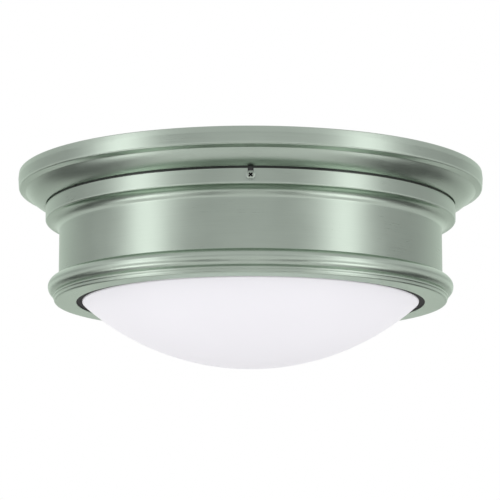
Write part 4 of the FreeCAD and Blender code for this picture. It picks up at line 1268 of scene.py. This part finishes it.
@dataclass(frozen=True)
class FibrePad:
    """The mineral wool pad: a flat ring with soft edges and an uneven top."""

    bore: float = 64.0
    outer: float = 150.0
    bottom: float = -14.0
    top: float = -2.0
    edge: float = 3.0
    lump: float = 0.7
    frayed: float = 6.0
    wave_counts: tuple[int, ...] = (3, 5, 8, 13, 21, 34, 55, 89)
    slant: float = 0.025
    rows: int = 420
    seed: int = 7

    def corners(self) -> list[Corner]:
        """Its section, a rectangle with rounded corners.

        Returns:
            The corners in millimetres.
        """
        left, edge = Sense.LEFT, self.edge
        low, high, bore, outer = self.bottom, self.top, self.bore, self.outer
        return [Corner(*row) for row in (
            (bore + edge, low), (outer - edge, low), (outer, low + edge, edge, left),
            (outer, high - edge), (outer - edge, high, edge, left), (bore + edge, high),
            (bore, high - edge, edge, left), (bore, low + edge), (bore + edge, low, edge, left))]

    def make(self) -> None:
        """Build the pad: a rounded section, thinned by a sum of slow waves and fine tufts.

        Each wave is a sine of angle and radius, weaker the more often it turns. Their sum, from
        0 to 1, lowers the top and draws in the edges.
        """
        radius, height = (outline(self.corners(), count=200, softness=0.6, spacing=0.25) / MM).T
        around = even_angles(self.rows)
        draw = np.random.default_rng(self.seed)
        waves = np.zeros((len(around), len(radius)))
        for size in self.wave_counts:
            turn, slope, phase = draw.integers(size // 2, size), draw.normal(), draw.random()
            waves += np.sin(around[:, None] * turn + radius * slope * size * self.slant
                            + phase * TURN) / size ** 0.5
        waves = (waves - waves.min()) / (waves.max() - waves.min())
        share = np.clip((height - self.bottom) / (self.top - self.bottom), 0, 1)
        outwards = np.where(radius < (self.bore + self.outer) / 2, 1, -1)
        from_edge = np.minimum(radius - self.bore, self.outer - radius)
        near_edge = np.clip(1 - from_edge / self.frayed, 0, 1)
        points, faces = turned((radius + self.lump * waves * outwards * near_edge) * MM,
                               (height - self.lump * waves * share) * MM, around)
        pad = build("wool_pad", points, faces, WOOL, "root", "insulation_pad", crisp=60)


@dataclass(frozen=True)
class BackPan:
    """The white pan and the pieces fixed to it that keep their CAD shapes."""

    stud_spacing: float = 50.8

    def make(self) -> None:
        """Dress the CAD nodes and build the pad, the studs and the nuts."""
        FibrePad().make()
        dress_nodes(WHITE_PAINT, "back_pan")
        dress_nodes(ZINC, "mounting_crossbar", "side_weld_nuts", "holder_screws", "block_screws",
                    "lead_clips")
        dress_nodes(RIVET_METAL, "pan_rivets", "bracket_rivets")
        dress_nodes(BLACK_NYLON, "supply_bushing")
        dress_nodes(WHITE_NYLON, "terminal_block")
        dress_nodes(BRASS, "terminal_screws", "earth_eyelet")
        dress_nodes(GREEN_DIP, "earth_screw")
        dress_nodes(GREEN_WIRE, "earth_lead")
        nuts = [HangingNut(self.stud_spacing / 2, 1), HangingNut(-self.stud_spacing / 2, 2)]
        (first, faces), (second, more_faces) = (nut.stud_surface() for nut in nuts)
        build("threaded_studs", np.vstack([first, second]),
              np.vstack([faces, more_faces + len(first)]), ZINC, "root", "mounting_studs",
              crisp=40)
        for nut in nuts:
            nut.make_nut()


# The studio

@dataclass(frozen=True)
class Fixture:
    """A rectangle that faces the light from a direction, in degrees and metres."""

    name: str
    azimuth: float
    elevation: float
    distance: float
    width: float
    height: float

    def away(self) -> Array:
        """Unit vector from the light to the rectangle. Azimuth 0 is in front, 90 to the right.

        Returns:
            The vector.
        """
        azimuth, elevation = math.radians(self.azimuth), math.radians(self.elevation)
        return np.array([math.sin(azimuth) * math.cos(elevation),
                         -math.cos(azimuth) * math.cos(elevation), math.sin(elevation)])


@dataclass(frozen=True)
class Softbox(Fixture):
    """A lamp that reflections show as an even white face."""

    radiance: float

    def make(self, aim: Place) -> None:
        """Place the lamp. Its power gives its face the radiance, whatever its size.

        Args:
            aim: the place that it faces.
        """
        lamp = bpy.data.lights.new(self.name, "AREA")
        lamp.shape = "RECTANGLE"
        lamp.size, lamp.size_y = self.width, self.height
        lamp.energy = self.radiance * math.pi * self.width * self.height
        rig = link(self.name, lamp)
        rig.location = np.array(aim) + self.away() * self.distance
        rig.visible_camera = False
        point_at(rig, aim)


@dataclass(frozen=True)
class Flag(Fixture):
    """A black card beside the light. Only the metal's reflections show it."""

    def make(self, aim: Place) -> None:
        """Stand the card square to the direction in which it lies.

        Args:
            aim: the place that it faces.
        """
        away, turn = self.away(), math.radians(self.azimuth)
        across = np.array([math.cos(turn), math.sin(turn), 0.0]) * self.width / 2
        upward = np.cross(across, away)
        upward *= self.height / 2 / np.linalg.norm(upward)
        card = quad(self.name, np.array(aim) + away * self.distance, across, upward,
                    FLAG_CLOTH.material())
        card.visible_camera = False
        card.visible_diffuse = False
        card.visible_shadow = False


def quad(name: str, middle: Array, across: Array, upward: Array,
         material: bpy.types.Material) -> bpy.types.Object:
    """Make a flat rectangle of the studio.

    Args:
        name: its name.
        middle: its centre.
        across: half its width, as a vector.
        upward: half its height, as a vector.
        material: its material.

    Returns:
        The new object.
    """
    mesh = bpy.data.meshes.new(name)
    mesh.from_pydata([tuple(middle + across * a + upward * b)
                      for a, b in ((-1, -1), (1, -1), (1, 1), (-1, 1))], [], [(0, 1, 2, 3)])
    mesh.materials.append(material)
    return link(name, mesh)


def point_at(rig: bpy.types.Object, aim: Place) -> None:
    """Turn a lamp or camera so that its own minus Z axis points at a place."""
    way = Vector(aim) - rig.location
    rig.rotation_euler = way.to_track_quat("-Z", "Y").to_euler()


# Name, azimuth and elevation in degrees, distance, width and height in metres
LIGHTS = (
    Softbox("softbox_left", -60.0, -4.0, 1.7, 0.66, 1.9, radiance=1.74),
    Softbox("softbox_right", 53.5, -4.0, 1.7, 0.62, 1.9, radiance=1.74),
    Softbox("strip_low_left", -68.0, -43.0, 0.64, 0.26, 0.26, radiance=1.7),
    Softbox("strip_low_right", 59.0, -43.0, 0.64, 0.26, 0.26, radiance=1.7),
    Flag("flag_left", -106.0, -34.0, 0.56, 0.36, 0.34),
    Flag("flag_right", 107.0, -38.0, 0.56, 0.36, 0.34),
    Flag("flag_front_left", -25.0, -38.0, 0.60, 0.14, 0.26),
    Flag("flag_front_right", 25.0, -40.0, 0.60, 0.14, 0.26),
)


@dataclass(frozen=True)
class Studio:
    """Camera, soft lamps, black cards, a white world and a pale floor."""

    camera_place: Place = (-0.0005, -1.8977, -0.3979)
    camera_aim: Place = (-0.0005, 0.0, -0.0633)
    lens: float = 161.06
    sensor: float = 36.0
    lamp_aim: Place = (0.0, 0.0, -0.07)
    floor_height: float = -0.55
    floor_half: float = 3.0
    side_grey: float = 0.42
    front_glow: float = 0.20
    upper_glow: float = 0.32
    horizon_glow: float = 0.24
    diffuse_level: float = 0.95

    def make_camera(self) -> None:
        """Place the camera where the photograph was taken from."""
        data = bpy.data.cameras.new("camera")
        data.lens = self.lens
        data.sensor_width = self.sensor
        camera = link("camera", data)
        camera.location = self.camera_place
        point_at(camera, self.camera_aim)
        bpy.context.scene.camera = camera

    def make_world(self) -> None:
        """Light from all round: white for the camera, and a studio for the metal.

        The metal sees white behind the light and grey at its sides, lighter behind the camera,
        high up and below the horizon.
        """
        world = bpy.data.worlds.new("studio_world")
        bpy.context.scene.world = world
        paint = Paint(world)
        seen, glossy, passed = (paint.signal("ShaderNodeLightPath", f"Is {kind} Ray")
                                for kind in ("Camera", "Glossy", "Transmission"))
        mirrored = glossy.maximum(passed)
        _, depth, height = paint.axes(paint.node("ShaderNodeTexCoord").outputs["Generated"])
        behind = depth.above(edge=0.35, width=0.6) * (1.0 - self.side_grey)
        ahead = (-1.0 * depth).above(edge=0.90, width=0.10) * self.front_glow
        high = height.above(edge=0.17, width=0.22) * self.upper_glow
        low = (1 - height.above(edge=0.03, width=0.12)) * self.horizon_glow
        room = self.side_grey + behind + ahead + high + low
        level = seen + (1 - seen) * (mirrored * room + (1 - mirrored) * self.diffuse_level)
        shade = paint.node("ShaderNodeBackground", {},
                           {"Color": (1.0, 1.0, 1.0), "Strength": level})
        paint.node("ShaderNodeOutputWorld", {}, {0: shade.outputs[0]})

    def make_floor(self) -> None:
        """A pale floor well below the light. It can't be seen from underneath."""
        material = bpy.data.materials.new("pale_floor")
        paint = Paint(material)
        grain = paint.noise(paint.place(), scale=6.0)
        below = paint.signal("ShaderNodeNewGeometry", "Backfacing")
        paint.surface({"Base Color": paint.blend(grain, (0.78, 0.78, 0.77), (0.82, 0.82, 0.81)),
                       "Roughness": 0.8, "Alpha": 1 - below})
        across, upward = np.array([[1.0, 0.0, 0.0], [0.0, 1.0, 0.0]]) * self.floor_half
        floor = quad("floor", np.array([0.0, 0.0, self.floor_height]), across, upward, material)

    def make(self) -> None:
        """Set up the whole studio."""
        bpy.context.scene.view_settings.view_transform = "Standard"
        self.make_camera()
        for fixture in LIGHTS:
            fixture.make(self.lamp_aim)
        self.make_world()
        self.make_floor()


def main() -> None:
    """Build the light's visible pieces in order and report each."""
    logging.basicConfig(level=logging.INFO, format="%(message)s")
    Studio().make()
    TrimPan().make()
    ring = ShadeRing()
    ring.make()
    GlassBowl().make()
    for number, angle in enumerate(ring.screw_angles, start=1):
        SideScrew(angle, number).make()
    for number, angle in enumerate(LAMP_ANGLES, start=1):
        Lamp(angle, number).make()
    BackPan().make()


if __name__ == "__main__":
    main()
